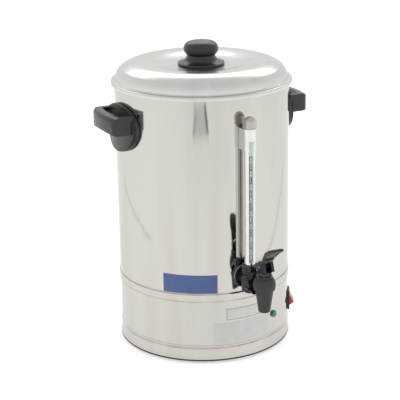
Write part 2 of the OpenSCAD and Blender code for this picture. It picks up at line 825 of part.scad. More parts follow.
module inlet_screws() {
  head_x = skirt_r + inlet_flange_t + seat_gap;
  nut_x = skirt_r - sheet_t - 4.2;
  color(dull_steel) around(180) for (side = [-1, 1]) translate([0, side * inlet_pitch / 2, 0]) {
    outward(head_x, inlet_z) rotate([180, 0, 0]) pan_screw(m3_r, 12, 2.9, 1.8);
    outward(nut_x, inlet_z) hex_nut(5.5, m3_r + run_gap, 2.2);
  }
}

// ---------------------------------------------------------------- handles

// Points of the base's outline, inset from its edge: an oval with a fuller upper half
function oval(inset) =
  let (half_w = handle_base_w / 2 - inset, mid = 3, full = 0.9)
  [for (i = [-18:17]) let (a = 5 * i) [
    -mid - (handle_base_h / 2 - mid - inset) * pow(cos(a), full), half_w * sign(a) * pow(abs(sin(a)), full)
  ],
  for (i = [18:53]) let (a = 5 * i) [-mid - (handle_base_h / 2 + mid - inset) * cos(a), half_w * sin(a)]];

// The oval, standing out from the tank as far as a cylinder about the tank's axis
module oval_pad(inset, r) {
  intersection() {
    outward(tank_r - 25, 0) linear_extrude(60) polygon(oval(inset));
    translate([0, 0, -handle_base_h]) cylinder(r = r, h = 2 * handle_base_h, $fn = 192);
  }
}

// Section of the grip, spun about the tank's axis: a full outer edge above and a small one below
function grip_section() =
  let (x0 = handle_face - 4, x1 = handle_face + grip_reach, top = grip_h / 2, low_edge = 2.5, top_edge = 8)
  concat(
    [[x0, -top]],
    arc([x1 - low_edge, low_edge - top], low_edge, -90, 0, 5),
    arc([x1 - top_edge, top - top_edge], top_edge, 0, 90, 9),
    [[x0, top]]
  );

// The grip seen from above: an arc about the tank's axis with rounded ends
function grip_plan() =
  let (
    r = handle_face + grip_reach + 0.01,
    h = grip_w / 2,
    corner = 11,
    cx = sqrt(pow(r - corner, 2) - pow(h - corner, 2)),
    turn = atan2(h - corner, cx)
  )
  concat(
    [[tank_r - 10, -h]],
    arc([cx, corner - h], corner, -90, -turn, 8),
    arc([0, 0], r, 1 - turn, turn - 1, 14),
    arc([cx, h - corner], corner, turn, 90, 8),
    [[tank_r - 10, h]]
  );

// Hollow for the fingertips in the top of the grip, behind its rim
module finger_hollow() {
  hollow_r = 13;
  depth = 5;
  end_wall = 9;
  intersection() {
    difference() {
      rotate_extrude($fn = 192) translate([handle_face + 1, grip_h / 2 + hollow_r - depth])
        circle(r = hollow_r, $fn = 48);
      translate([0, 0, -grip_h]) cylinder(r = handle_face, h = 3 * grip_h, $fn = 192);
    }
    slab(tank_r - 20, handle_face + grip_reach, grip_w - 2 * end_wall, -grip_h, grip_h);
  }
}

module handle_body() {
  arch = 3.5;
  arch_r = (grip_w * grip_w / 4 + arch * arch) / (2 * arch);
  groove_r = handle_wall + saddle_t + groove_w;
  difference() {
    union() {
      oval_pad(0, handle_wall + saddle_t);
      oval_pad(groove_depth, groove_r + 0.1);
      difference() {
        union() {
          oval_pad(0.6, handle_face - 0.8);
          oval_pad(1.4, handle_face);
        }
        translate([0, 0, -handle_base_h - 1]) cylinder(r = groove_r, h = 2 * handle_base_h + 2, $fn = 192);
      }
      translate([0, 0, grip_rise]) difference() {
        intersection() {
          rotate_extrude($fn = 192) polygon(grip_section());
          translate([0, 0, -grip_h]) linear_extrude(2 * grip_h) polygon(grip_plan());
        }
        finger_hollow();
      }
    }
    translate([0, 0, -handle_base_h]) cylinder(r = handle_wall, h = 2 * handle_base_h, $fn = 192);
    outward(handle_face + 1, grip_rise - grip_h / 2 - arch_r + arch)
      cylinder(r = arch_r, h = grip_reach + 5, $fn = 256);
    for (z = handle_screw_zs) outward(handle_wall - 2, z)
      cylinder(r = handle_screw_r - 0.1, h = 2 + thread_len);
  }
}

module at_handle(azimuth) {
  around(azimuth) translate([0, 0, handle_z]) children();
}

module left_handle() {
  color(black) at_handle(-90) handle_body();
}

module right_handle() {
  color(black) at_handle(90) handle_body();
}

module handle_gaskets() {
  color(rubber_black) for (azimuth = [-90, 90]) at_handle(azimuth) difference() {
    oval_pad(1.5, handle_wall - panel_gap);
    translate([0, 0, -handle_base_h]) cylinder(r = tank_r + panel_gap, h = 2 * handle_base_h, $fn = 192);
    for (z = handle_screw_zs) outward(tank_r - 3, z) cylinder(r = handle_screw_r + seat_gap, h = 10);
  }
}

module handle_screws() {
  head_x = screw_seat_x - seal_t - seat_gap;
  length = handle_wall + thread_len - 1 - head_x;
  color(dull_steel) for (azimuth = [-90, 90], z = handle_screw_zs)
    at_handle(azimuth) outward(head_x, z) pan_screw(handle_screw_r - 0.15, length, 4.8, 3);
}

module handle_seals() {
  color(silicone) for (azimuth = [-90, 90], z = handle_screw_zs)
    at_handle(azimuth) outward(screw_seat_x - seal_t, z)
      tube(handle_seal_r, handle_screw_r + seat_gap, seal_t);
}

// ---------------------------------------------------------------- lid

// Outer line of the lid, from the rim's edge over the crown to the knob's hole
function lid_path() =
  concat(
    [[lid_rim_r, lid_edge_z]],
    arc([lid_rim_r - rim_roll, lid_top_z - rim_roll], rim_roll, 0, 90, 7),
    arc([crown_r + step_r, crown_z], step_r, -90, -180, 6),
    arc([crown_r - shoulder_r, crown_z], shoulder_r, 3, crown_split, 12),
    arc([ridge_r, ridge_z - top_r], top_r, crown_split + 2, 90, 9),
    arc([ridge_r, ridge_z - dish_arc_r], dish_arc_r, 91.5, 90 + dish_turn, 7),
    arc([knob_seat_r, knob_seat_z + dish_arc_r], dish_arc_r, -90 + dish_turn - 1.5, -90, 7),
    [[knob_screw_r + seat_gap, knob_seat_z]]
  );

module lid_shell() {
  color(steel) difference() {
    spun(lid_path(), sheet_t);
    around(vent_az) translate([vent_ring_r, 0, knob_seat_z - 4]) cylinder(d = vent_d, h = 20);
  }
}

// Guide ring welded inside the lid, which keeps it centred in the tank's mouth
module lid_ring() {
  top_z = lid_top_z - sheet_t - seat_gap;
  inset = 2;
  color(steel) spun(concat(
    [[ring_r - inset, top_z - ring_h]],
    [[ring_r, top_z - ring_h + 3]],
    arc([ring_r + 1.5, top_z - 1.5], 1.5, 180, 90, 4),
    [[ring_r + 4, top_z]]
  ), -ring_t);
}

// Outline of the knob: hollow foot, flange, swept neck, round bulb and a disc let into the top
function knob_outline() =
  let (
    bulb = 11,
    bulb_c = [knob_r - bulb, knob_h - bulb],
    sweep = 15,
    sweep_c = [knob_flange_r, knob_flange_h + sweep],
    across = bulb_c - sweep_c,
    sweep_end = atan2(across[1], across[0]) - 360
      + acos((across * across + sweep * sweep - bulb * bulb) / (2 * norm(across) * sweep)),
    meet = sweep_c + sweep * [cos(sweep_end), sin(sweep_end)] - bulb_c,
    disc_r = knob_r - 10
  )
  concat(
    [[knob_screw_r, 0], [8, 0], [8, 2], [knob_flange_r - 4, 2], [knob_flange_r - 4, 0],
      [knob_flange_r - 0.4, 0]],
    [[knob_flange_r, 0.4], [knob_flange_r, knob_flange_h - 0.6], [knob_flange_r - 0.6, knob_flange_h]],
    arc(sweep_c, sweep, -97, sweep_end, 10),
    arc(bulb_c, bulb, atan2(meet[1], meet[0]) + 6, 78, 14),
    [[disc_r + 0.5, knob_h - 0.1], [disc_r + 0.5, knob_h - 0.8], [disc_r, knob_h - 0.8], [disc_r, knob_h]],
    [[0, knob_h], [0, knob_bore], [knob_screw_r, knob_bore]]
  );

module lid_knob() {
  color(black) translate([0, 0, knob_seat_z + panel_gap]) rotate_extrude() polygon(knob_outline());
}

module knob_screw() {
  plate_t = 1.5;
  seat = knob_seat_z - sheet_t - seat_gap;
  color(dull_steel) {
    translate([0, 0, seat - plate_t]) tube(9, knob_screw_r, plate_t);
    translate([0, 0, seat - plate_t - seat_gap]) pan_screw(knob_screw_r - 0.15, 22, 6, 3.4);
  }
}

// ---------------------------------------------------------------- gauge

module at_gauge(z) {
  around(0) translate([gauge_x, 0, z]) children();
}

module gauge_glass() {
  color([0.85, 0.92, 0.94, 0.5]) at_gauge(glass_z)
    tube(glass_d / 2, glass_d / 2 - glass_t, glass_top_z - glass_z);
}

module gauge_guard() {
  guard_r = guard_d / 2;
  color(chrome_white) at_gauge(0) difference() {
    translate([0, 0, guard_z]) tube(guard_r, guard_r - guard_t, guard_top_z - guard_z);
    rotate([0, 0, -window_turn]) slab(0, guard_d, window_w, window_z, window_top_z);
  }
}

// White half-round channel behind the glass, against which the level is read
module gauge_scale() {
  outer_r = guard_d / 2 - guard_t - scale_gap;
  sweep = 210;
  color([0.92, 0.92, 0.9]) at_gauge(guard_z) rotate([0, 0, 180 - sweep / 2 - window_turn])
    rotate_extrude(angle = sweep) translate([outer_r - scale_t, 0])
      square([scale_t, window_top_z + 5 - guard_z]);
}

module gauge_bracket() {
  outer_r = guard_d / 2 + seat_gap + bracket_wall;
  inner_r = guard_d / 2 + seat_gap;
  color(chrome_white) around(0) difference() {
    union() {
      translate([gauge_x, 0, bracket_top_z - bracket_h]) cylinder(r = outer_r, h = bracket_h);
      slab(tank_r - 2, gauge_x, 2 * outer_r, bracket_top_z - bracket_h, bracket_top_z);
      outward(tank_r - 11, bracket_stud_z) cylinder(r = bracket_stud_r, h = 13);
    }
    difference() {
      union() {
        translate([gauge_x, 0, bracket_top_z - bracket_h - 1])
          cylinder(r = inner_r, h = bracket_h + 1 - bracket_plate_t);
        slab(tank_r + 1.4, gauge_x, 2 * inner_r, bracket_top_z - bracket_h - 1,
          bracket_top_z - bracket_plate_t);
      }
      outward(tank_r, bracket_stud_z) cylinder(r = 4.5, h = 3);
    }
    difference() {
      translate([0, 0, bracket_top_z - bracket_h - 1]) cylinder(r = tank_r + panel_gap, h = bracket_h + 2);
      outward(tank_r - 12, bracket_stud_z) cylinder(r = bracket_stud_r, h = 13.5);
    }
    translate([gauge_x, 0, bracket_top_z - 3]) cylinder(r = cap_spigot_r + 0.15, h = 5);
    translate([gauge_x, 0, 0]) rotate([0, 0, -window_turn])
      slab(0, guard_d, window_w, bracket_top_z - bracket_h - 1, window_top_z);
  }
}

module bracket_nut() {
  nut_x = tank_r - sheet_t - 0.2;
  color(dull_steel) around(0) {
    outward(nut_x - 1, bracket_stud_z) tube(6, bracket_stud_r + run_gap, 1);
    outward(nut_x - 1 - seat_gap - 4, bracket_stud_z) hex_nut(8, bracket_stud_r + run_gap, 4);
  }
}

module gauge_washer() {
  color(chrome_white) at_gauge(bracket_top_z + seat_gap) tube(9.6, cap_spigot_r + 0.15, cap_washer_t);
}

module gauge_cap_nut() {
  glass_room = glass_d / 2 + 0.15;
  edge = 0.9;
  dome_r = (cap_dome_r * cap_dome_r + cap_dome_h * cap_dome_h) / (2 * cap_dome_h);
  color(chrome_white) at_gauge(cap_z) difference() {
    union() {
      intersection() {
        cylinder(r = cap_hex_r, h = cap_hex_h, $fn = 6);
        rotate_extrude() polygon([
          [0, 0], [cap_hex_r - edge, 0], [cap_hex_r, edge], [cap_hex_r, cap_hex_h - edge],
          [cap_dome_r, cap_hex_h], [0, cap_hex_h]
        ]);
      }
      translate([0, 0, cap_hex_h - 0.1]) rotate_extrude() polygon(concat(
        [[0, 0]], arc([0, cap_dome_h - dome_r], dome_r, asin((dome_r - cap_dome_h) / dome_r), 90, 12)
      ));
      translate([0, 0, -cap_spigot_h]) cylinder(r = cap_spigot_r, h = cap_spigot_h + 1);
    }
    translate([0, 0, -cap_spigot_h - 1]) cylinder(r = glass_room,
      h = glass_top_z - cap_z + 1.5 + cap_spigot_h + 1);
  }
}

module gauge_seals() {
  top_z = cap_z - cap_spigot_h - seat_gap - gauge_seal_h;
  color(silicone) {
    at_gauge(top_z) tube(guard_d / 2 - guard_t - 0.1, glass_d / 2 + run_gap, gauge_seal_h);
    at_gauge(gland_z + gland_spigot_h + seat_gap) tube(6.9, glass_d / 2 + run_gap, gauge_seal_h);
  }
}

module gauge_gland_nut() {
  color(black) at_gauge(gland_z) difference() {
    union() {
      cylinder(r = gland_r - 1.2, h = gland_h);
      translate([0, 0, 1]) lugs(8, gland_r - 2.4, 2.4, gland_h - 4);
      translate([0, 0, gland_h - 2.6]) cylinder(r = gland_r - 0.4, h = 2.6);
    }
    translate([0, 0, -1]) cylinder(r = gland_spigot_r + seat_gap, h = gland_spigot_h + 1 + seat_gap);
    translate([0, 0, gland_spigot_h - 1]) cylinder(r = 7, h = gauge_seal_h + 1 + 2 * seat_gap);
    translate([0, 0, -1]) cylinder(r = glass_d / 2 + 0.15, h = gland_h + 2);
    translate([0, 0, gland_h - guard_cup]) cylinder(r = guard_d / 2 + seat_gap, h = guard_cup + 1);
  }
}

// ---------------------------------------------------------------- tap

module tap_shank() {
  neck_d = 8;
  cross_z = tap_z - 18;
  color(black) around(0) difference() {
    union() {
      outward(tank_r - 16, tap_z) cylinder(r = shank_thread_r, h = 30);
      outward(shank_x, tap_z) cylinder(r = shank_flange_r, h = shank_flange_t);
      outward(shank_x, tap_z) cylinder(r = shank_body_r, h = gauge_x - shank_x);
      outward(gauge_x, tap_z) cylinder(r = shank_spigot_r, h = shank_tip_x - gauge_x);
      translate([gauge_x, 0, cross_z]) cylinder(r = shank_body_r - 0.3, h = gland_z - seat_gap - cross_z);
      translate([gauge_x, 0, gland_z - 1]) cylinder(r = gland_spigot_r, h = gland_spigot_h + 1);
      translate([gauge_x, 0, cross_z - 3]) cylinder(r = 8.5, h = 4, $fn = 8);
    }
    outward(tank_r - 17, tap_z) cylinder(d = way_d, h = shank_tip_x - tank_r + 18);
    translate([gauge_x, 0, tap_z]) cylinder(d = neck_d, h = gland_z - tap_z + 4);
    translate([gauge_x, 0, glass_z - 1]) cylinder(r = glass_d / 2 + 0.2, h = 10);
    translate([gauge_x, 0, gland_z - seat_gap]) tube(gland_r + 0.3, gland_spigot_r, shank_body_r);
  }
}

module shank_washers() {
  color(silicone) around(0) difference() {
    union() {
      outward(tank_r - 4, tap_z) tube(shank_flange_r - 1, shank_thread_r + seat_gap, 4 + washer_t);
      outward(tank_r - sheet_t - 0.3 - washer_t, tap_z)
        tube(shank_flange_r - 2, shank_thread_r + seat_gap, washer_t);
    }
    translate([0, 0, tap_z - 30]) tube(tank_r + panel_gap, tank_r - sheet_t - 1.2, 60);
  }
}

module shank_nut() {
  color(black) around(0) outward(tank_r - 15, tap_z) difference() {
    union() {
      cylinder(r = 16, h = 7, $fn = 6);
      translate([0, 0, 7]) cylinder(r = 16, h = 15 - 7 - sheet_t - 0.3 - washer_t - seat_gap - 1.3);
    }
    translate([0, 0, -1]) cylinder(r = shank_thread_r + seat_gap, h = 20);
  }
}

module coupling_nut() {
  lip = 3.4;
  bore = shank_spigot_r + 0.15;
  color(black) around(0) outward(coupling_x, tap_z) difference() {
    union() {
      cylinder(r = coupling_r - 2, h = coupling_t);
      translate([0, 0, 1]) lugs(8, coupling_r - 3.4, 3.4, coupling_t - 3);
    }
    translate([0, 0, -1]) cylinder(r = bore, h = coupling_t - lip + 1);
    translate([0, 0, -1]) cylinder(r = tail_r + 0.15, h = coupling_t + 2);
  }
}

module coupling_gasket() {
  color(silicone) around(0) outward(gasket_x, tap_z)
    tube(tail_flange_r, way_d / 2 + 0.2, coupling_gasket_t);
}

module at_tap(z) {
  around(0) translate([tap_x, 0, z]) children();
}

// Outline of the tap's body, from the spout's mouth up to the socket for the bonnet
function tap_outline() =
  concat(
    [[0, spout_z], [spout_r - 0.6, spout_z], [spout_r, spout_z + 0.8]],
    [[cone_top_r, cone_top_z - 0.3], [cone_top_r + cup_step, cone_top_z]],
    arc(
      [tap_r - shoulder_arc, shoulder_z], shoulder_arc,
      -asin((shoulder_z - cone_top_z - 0.4) / shoulder_arc),
        asin((body_top_z - shoulder_z) / shoulder_arc), 14
    ),
    [[0, body_top_z]]
  );

module tap_body() {
  color(black) difference() {
    union() {
      at_tap(0) rotate_extrude() polygon(tap_outline());
      around(0) outward(tail_x, tap_z) cylinder(r = tail_r, h = tap_x - tail_x);
      around(0) outward(tail_x, tap_z) cylinder(r = tail_flange_r, h = tail_flange_t);
    }
    at_tap(spout_z - 1) cylinder(d = spout_bore_d, h = seat_z - spout_z + 3);
    at_tap(spout_z - 0.1) cylinder(r1 = spout_r - 1, r2 = spout_bore_d / 2 - 0.1, h = 3);
    at_tap(seat_z) difference() {
      cylinder(r = chamber_r, h = body_top_z - seat_z + 1);
      tube(spout_bore_d / 2 + 1.6, spout_bore_d / 2 - 1, seat_lip);
    }
    around(0) outward(tail_x - 1, tap_z) cylinder(d = way_d - 1, h = tap_x - tail_x);
  }
}

module tap_bonnet() {
  color(black) at_tap(0) difference() {
    union() {
      translate([0, 0, body_top_z - bonnet_plug_h])
        cylinder(r = chamber_r - seat_gap, h = bonnet_plug_h + 1);
      translate([0, 0, bonnet_base_z]) cylinder(r = 11.9, h = 3);
      translate([0, 0, bonnet_base_z]) cylinder(r = 9.8, h = bonnet_top_z - bonnet_base_z);
      translate([0, 0, bonnet_base_z + 2]) lugs(6, 9.2, 2.6, bonnet_top_z - bonnet_base_z - 3);
    }
    translate([0, 0, body_top_z - bonnet_plug_h - 1])
      cylinder(r = spring_pocket_r, h = spring_pocket_z - body_top_z + bonnet_plug_h + 1);
    translate([0, 0, body_top_z]) cylinder(r = stem_r + 0.2, h = 20);
  }
}

module tap_stem() {
  color(brass) at_tap(0) difference() {
    union() {
      translate([0, 0, cup_z + 3.5]) cylinder(r = stem_r, h = pin_z - cup_z - 3.5);
      sideways(0, pin_z) translate([0, 0, -stem_r + 0.1]) cylinder(r = stem_r + 0.6, h = 2 * stem_r - 0.2);
      translate([0, 0, cup_z + 3.5]) cylinder(r = stem_r + 1.6, h = 2.4);
    }
    sideways(0, pin_z) translate([0, 0, -10]) cylinder(r = pin_r, h = 20);
  }
}

module lever_pin() {
  color(dull_steel) at_tap(0) sideways(0, pin_z) translate([0, 0, -cheek_w / 2 - 0.3])
    cylinder(r = pin_r - 0.01, h = cheek_w + 0.6);
}

module seat_cup() {
  nose_r = spout_bore_d / 2 + 1;
  color(silicone) at_tap(0) difference() {
    rotate_extrude() polygon([
      [0, cup_z], [nose_r, cup_z], [cup_r, cup_z + 3], [cup_r, cup_top_z - 3],
        [cup_r - 1.6, cup_top_z - 1.6],
      [cup_r - 1.6, cup_top_z], [0, cup_top_z]
    ]);
    translate([0, 0, cup_z + 3.4]) cylinder(r = stem_r + 1.7, h = 2.6);
    translate([0, 0, cup_z + 4]) cylinder(r = stem_r + seat_gap, h = 20);
  }
}

// A point on the skin of the coiled wire
function coil_point(i, j) =
  let (turn = 360 * i / spring_steps, side = 360 * j / spring_sides, r = spring_r + wire_r * cos(side))
  [r * cos(turn), r * sin(turn), spring_z + (spring_top_z - spring_z) * i / (spring_steps * spring_turns) + wire_r * sin(side)];

module tap_spring() {
  n = spring_steps * spring_turns;
  m = spring_sides;
  color(dull_steel) at_tap(0) polyhedron(
    points = [for (i = [0:n], j = [0:m - 1]) coil_point(i, j)],
    faces = concat(
      [[for (j = [0:m - 1]) j]],
      [[for (j = [m - 1:-1:0]) n * m + j]],
      [for (i = [0:n - 1], j = [0:m - 1]) [i * m + (j + 1) % m, i * m + j, (i + 1) * m + j,
        (i + 1) * m + (j + 1) % m]]
    )
  );
}

// The cheek's lower edge is an involute, so the stem rises in step with the lever's angle
function cam_point(a) = (pin_rise + cam_rate * a * PI / 180) * [sin(a), -cos(a)] + cam_rate * [cos(a),
  sin(a)];

module cheek_outline() {
  cam = [for (i = [0:8]) cam_point(i * (lever_throw + 6) / 8)];
  polygon(concat(cam, [[9, 10], [-2, 9], [-6, 0], [-4, -pin_rise]]));
  intersection() {
    circle(r = cheek_r);
    translate([-cheek_r - 1, -pin_rise]) square(2 * cheek_r);
  }
}

module lever_bar(p, r, half_w) {
  for (side = [-1, 1]) translate([p[0], side * (half_w - r), p[1]]) sphere(r = r, $fn = 24);
}

module tap_lever() {
  half_w = lever_w / 2;
  cheek_t = (cheek_w - cheek_gap) / 2;
  spine = [[6.5, 8.2], [12.6, 17.6], [20, 25.8], [29, 32], [39.5, 36.6]];
  depth = [3.8, 3.8, 3.6, 3.2, 2.5];
  width = [cheek_w / 2, cheek_w / 2 + 0.5, half_w, half_w, half_w - 3];
  pocket_t = 2.2;
  pocket_wall = 2.2;
  color(black) around(0) translate([tap_x, 0, pin_z]) difference() {
    union() {
      for (side = [-1, 1]) translate([0, side * (cheek_gap + cheek_t) / 2 + cheek_t / 2, 0])
        rotate([90, 0, 0]) linear_extrude(cheek_t) cheek_outline();
      difference() {
        union() {
          for (i = [0:3]) hull() {
            lever_bar(spine[i], depth[i], width[i]);
            lever_bar(spine[i + 1], depth[i + 1], width[i + 1]);
          }
        }
        sideways(0, 0) translate([0, 0, -cheek_gap / 2]) cylinder(r = stem_r + 1.6, h = cheek_gap);
        for (i = [1, 2]) translate([spine[i][0], 0, spine[i][1]])
          rotate([0, -atan2(spine[i + 1][1] - spine[i][1], spine[i + 1][0] - spine[i][0]), 0])
          slab(0, norm(spine[i + 1] - spine[i]), lever_w - 2 * pocket_wall, -depth[i] - 2,
            pocket_t - depth[i]);
      }
    }
    sideways(0, 0) translate([0, 0, -cheek_w / 2 - 1]) cylinder(r = pin_r + run_gap, h = cheek_w + 2);
  }
}

// ---------------------------------------------------------------- percolator

module pump_tube() {
  bell_h = 15;
  lip = 2.5;
  color(aluminium) difference() {
    union() {
      translate([0, 0, pump_z + bell_h - 2]) tube(pump_r, pump_r - pump_t,
        pump_top_z - pump_z - bell_h + 2);
      spun(concat(
        [[pump_foot_r, pump_z], [pump_foot_r, pump_z + lip]],
        arc([pump_foot_r - 6, pump_z + lip], 6, 8, 70, 6),
        [[pump_r + 3, pump_z + bell_h - 2.5], [pump_r, pump_z + bell_h]]
      ), pump_t);
      translate([0, 0, basket_z - stop_h - seat_gap]) tube(collar_r, pump_r - pump_t / 2, stop_h);
    }
    for (turn = [0, 60, 120]) rotate([0, 0, turn]) translate([-pump_foot_r - 1, -3, pump_z - 1])
      cube([2 * pump_foot_r + 2, 6, 2.6]);
  }
}

// Rings of holes: count on the innermost ring, one more step of count on each ring outward
module strainer(first_r, pitch, rings) {
  for (ring = [0:rings - 1]) {
    r = first_r + ring * pitch;
    count = floor(2 * PI * r / (pitch * 1.05));
    for (i = [0:count - 1]) rotate(360 * (i + ring / 2) / count) translate([r, 0])
      circle(d = strainer_d, $fn = 16);
  }
}

module coffee_basket() {
  rings = 5;
  pitch = (basket_r - 22) / rings;
  color(aluminium) union() {
    translate([0, 0, basket_z]) linear_extrude(sheet_t) difference() {
      circle(r = basket_r - 0.2);
      circle(r = sleeve_r - sleeve_t / 2);
      strainer(sleeve_r + 8, pitch, rings);
    }
    translate([0, 0, basket_z]) tube(basket_r, basket_r - sheet_t, basket_h - basket_bead_r);
    translate([0, 0, basket_z]) tube(sleeve_r, sleeve_r - sleeve_t, basket_h - 6);
    translate([0, 0, basket_top_z - basket_bead_r]) rotate_extrude()
      translate([basket_r - sheet_t + 0.2 + basket_bead_r, 0]) circle(r = basket_bead_r);
  }
}

module basket_cover() {
  rings = 5;
  pitch = (basket_r - 24) / rings;
  hole_r = pump_r + slide_gap;
  rim_out = 2.4;
  step = 5;
  color(aluminium) union() {
    translate([0, 0, cover_seat_z - step]) linear_extrude(sheet_t) difference() {
      circle(r = basket_r - 4.6);
      circle(r = hole_r);
      strainer(hole_r + 9, pitch, rings);
    }
    spun([
      [basket_r - 4.9, cover_seat_z - step], [basket_r - 4, cover_seat_z - step + 0.6],
        [basket_r - 3, cover_seat_z - 0.9],
      [basket_r - 2.2, cover_seat_z], [basket_r + rim_out, cover_seat_z]
    ], sheet_t);
    translate([0, 0, cover_seat_z - step]) tube(hole_r + sheet_t, hole_r, step + 5);
  }
}

// ---------------------------------------------------------------- wiring

module wire(points) {
  for (i = [0:len(points) - 2]) hull() {
    translate(points[i]) sphere(r = wire_cover_r, $fn = 8);
    translate(points[i + 1]) sphere(r = wire_cover_r, $fn = 8);
  }
}

// A point given outward from the middle, to the right of an azimuth, and up
function spot(azimuth, x, y, z) = [x * sin(azimuth) + y * cos(azimuth),
  y * sin(azimuth) - x * cos(azimuth), z];

module wiring() {
  end_gap = wire_cover_r + 0.3;
  way_z = block_z + 7;
  inlet_end = skirt_r + inlet_flange_t - inlet_d - 9 - end_gap;
  switch_end = skirt_r + panel_gap - switch_body_d - 9 - end_gap;
  lamp_end = skirt_r - 34 - end_gap;
  leg_end = element_z - 41 - end_gap;
  earth_end = skirt_r - sheet_t - seat_gap - earth_len - end_gap;
  disc_end = plate_z - seat_gap - thermostat_cap - thermostat_body - 9 - end_gap;
  color([0.75, 0.72, 0.66]) {
    for (side = [-1, 1]) wire([
      spot(180, inlet_end, side * 7, inlet_z), spot(180, inlet_end - 6, side * 7, inlet_z - 7),
      spot(180, 88, side * 4.5, way_z), spot(180, 79, side * 4.5, way_z)
    ]);
    wire([spot(180, inlet_end, 0, inlet_z + 2), spot(170, inlet_end - 2, 0, inlet_z + 9),
      spot(earth_az, earth_end, 0, inlet_z)]);
    wire([spot(180, 65, 13.5, way_z), spot(180, 57, 13.5, way_z),
      spot(180 + element_gap / 2, element_ring_r, 0, leg_end)]);
    wire([
      spot(180, 65, -13.5, way_z), spot(180, 56, -13.5, way_z), spot(120, 70, 0, way_z + 14),
      spot(80, 92, 0, switch_z - 14), spot(switch_az, switch_end, 5, switch_z - 8)
    ]);
    wire([
      spot(180 - element_gap / 2, element_ring_r, 0, leg_end), spot(120, 80, 0, switch_z - 4),
      spot(80, 96, 0, switch_z + 12), spot(switch_az, switch_end, 5, switch_z + 8)
    ]);
    wire([spot(switch_az, switch_end, -5, switch_z), spot(45, 90, 0, switch_z - 4),
      spot(lamp_az, lamp_end, 0, lamp_z + 2.5)]);
    wire([
      spot(boil_az, thermostat_ring_r, -4, disc_end), spot(100, 88, 0, disc_end - 5),
      spot(switch_az, switch_end, 5, switch_z)
    ]);
    wire([
      spot(boil_az, thermostat_ring_r, 4, disc_end), spot(150, 42, 0, disc_end - 9),
      spot(210, 42, 0, disc_end - 9), spot(warm_az, thermostat_ring_r, -4, disc_end)
    ]);
    wire([
      spot(warm_az, thermostat_ring_r, 4, disc_end), spot(-60, 70, 0, disc_end - 5),
      spot(cutout_az, thermostat_ring_r, -4, disc_end - 3)
    ]);
    wire([
      spot(cutout_az, thermostat_ring_r, 4, disc_end - 3), spot(15, 88, 0, disc_end - 13),
      spot(lamp_az, lamp_end, 0, lamp_z - 2.5)
    ]);
  }
}

// ---------------------------------------------------------------- assembly

bottom_cover();
foot_ring();
foot_screws();
cover_brackets();
base_skirt();
tank_shell();
tank_bottom();
heat_plate();
heating_element();
element_clamp();
clamp_nut();
boil_thermostat();
warm_thermostat();
thermal_cutout();
thermostat_clips();
terminal_block();
earth_stud();
wiring();
power_inlet();
inlet_pins();
inlet_screws();
switch_housing();
switch_rocker();
switch_terminals();
pilot_lens();
pilot_body();
left_handle();
right_handle();
handle_gaskets();
handle_screws();
handle_seals();
lid_shell();
lid_ring();
lid_knob();
knob_screw();
gauge_glass();
gauge_guard();
gauge_scale();
gauge_bracket();
gauge_cap_nut();
gauge_washer();
gauge_seals();
gauge_gland_nut();
bracket_nut();
tap_shank();
shank_washers();
shank_nut();
coupling_nut();
coupling_gasket();
tap_body();
tap_bonnet();
tap_lever();
lever_pin();
tap_stem();
seat_cup();
tap_spring();
pump_tube();
coffee_basket();
basket_cover();
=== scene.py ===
import math
import bpy
import bmesh
from mathutils import Matrix, Vector


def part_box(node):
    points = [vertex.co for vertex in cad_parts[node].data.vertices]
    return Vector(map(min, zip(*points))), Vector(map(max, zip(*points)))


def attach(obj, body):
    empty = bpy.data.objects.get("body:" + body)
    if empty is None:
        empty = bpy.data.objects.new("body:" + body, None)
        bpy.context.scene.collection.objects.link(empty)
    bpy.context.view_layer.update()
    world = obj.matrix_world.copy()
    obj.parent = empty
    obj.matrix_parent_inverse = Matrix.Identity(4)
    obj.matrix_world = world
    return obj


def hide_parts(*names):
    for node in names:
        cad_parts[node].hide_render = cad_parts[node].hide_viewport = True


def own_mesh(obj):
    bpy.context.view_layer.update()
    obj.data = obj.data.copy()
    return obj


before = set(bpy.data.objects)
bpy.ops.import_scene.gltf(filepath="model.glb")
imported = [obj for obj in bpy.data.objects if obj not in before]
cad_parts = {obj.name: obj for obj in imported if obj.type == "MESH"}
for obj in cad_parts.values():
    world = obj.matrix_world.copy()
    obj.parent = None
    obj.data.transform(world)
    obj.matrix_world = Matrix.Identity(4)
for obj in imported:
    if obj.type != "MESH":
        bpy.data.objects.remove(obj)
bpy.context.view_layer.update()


# Foot ring: one moulded ring of black rubber under the urn, held up against the bottom cover by four screws.
# It is dull and slightly dusty, with a fine pebble from the mould.

def new_finish(name, shader):
    """A finish with the plain numbers of its shader, and the two things that its texture steps need."""
    finish = bpy.data.materials.new(name)
    finish.use_nodes = True
    bsdf = finish.node_tree.nodes["Principled BSDF"]
    for socket, value in shader.items():
        bsdf.inputs[socket].default_value = value
    return finish, finish.node_tree, bsdf


def add(tree, kind, sockets=None, **settings):
    """One step of a finish: a socket takes a number, a colour or the output of an earlier step."""
    step = tree.nodes.new("ShaderNode" + kind)
    for setting, value in settings.items():
        setattr(step, setting, value)
    for socket, value in (sockets or {}).items():
        if isinstance(value, bpy.types.NodeSocket):
            tree.links.new(value, step.inputs[socket])
        else:
            step.inputs[socket].default_value = value
    return step


def mottle(tree, scale, detail=3.0, stretch=(1, 1, 1)):
    """Cloudy variation over the piece, drawn out along one direction where stretch says so."""
    spot = add(tree, "TexCoord").outputs["Object"]
    if stretch != (1, 1, 1):
        spot = add(tree, "Mapping", {"Vector": spot, "Scale": stretch}).outputs["Vector"]
    return add(tree, "TexNoise", {"Vector": spot, "Scale": scale, "Detail": detail}).outputs["Fac"]


def between(tree, amount, low, high, start=0.3, stop=0.7):
    """Turns an amount into a number that runs from low to high."""
    return add(tree, "MapRange", {
        "Value": amount, "From Min": start, "From Max": stop, "To Min": low, "To Max": high,
    }).outputs["Result"]


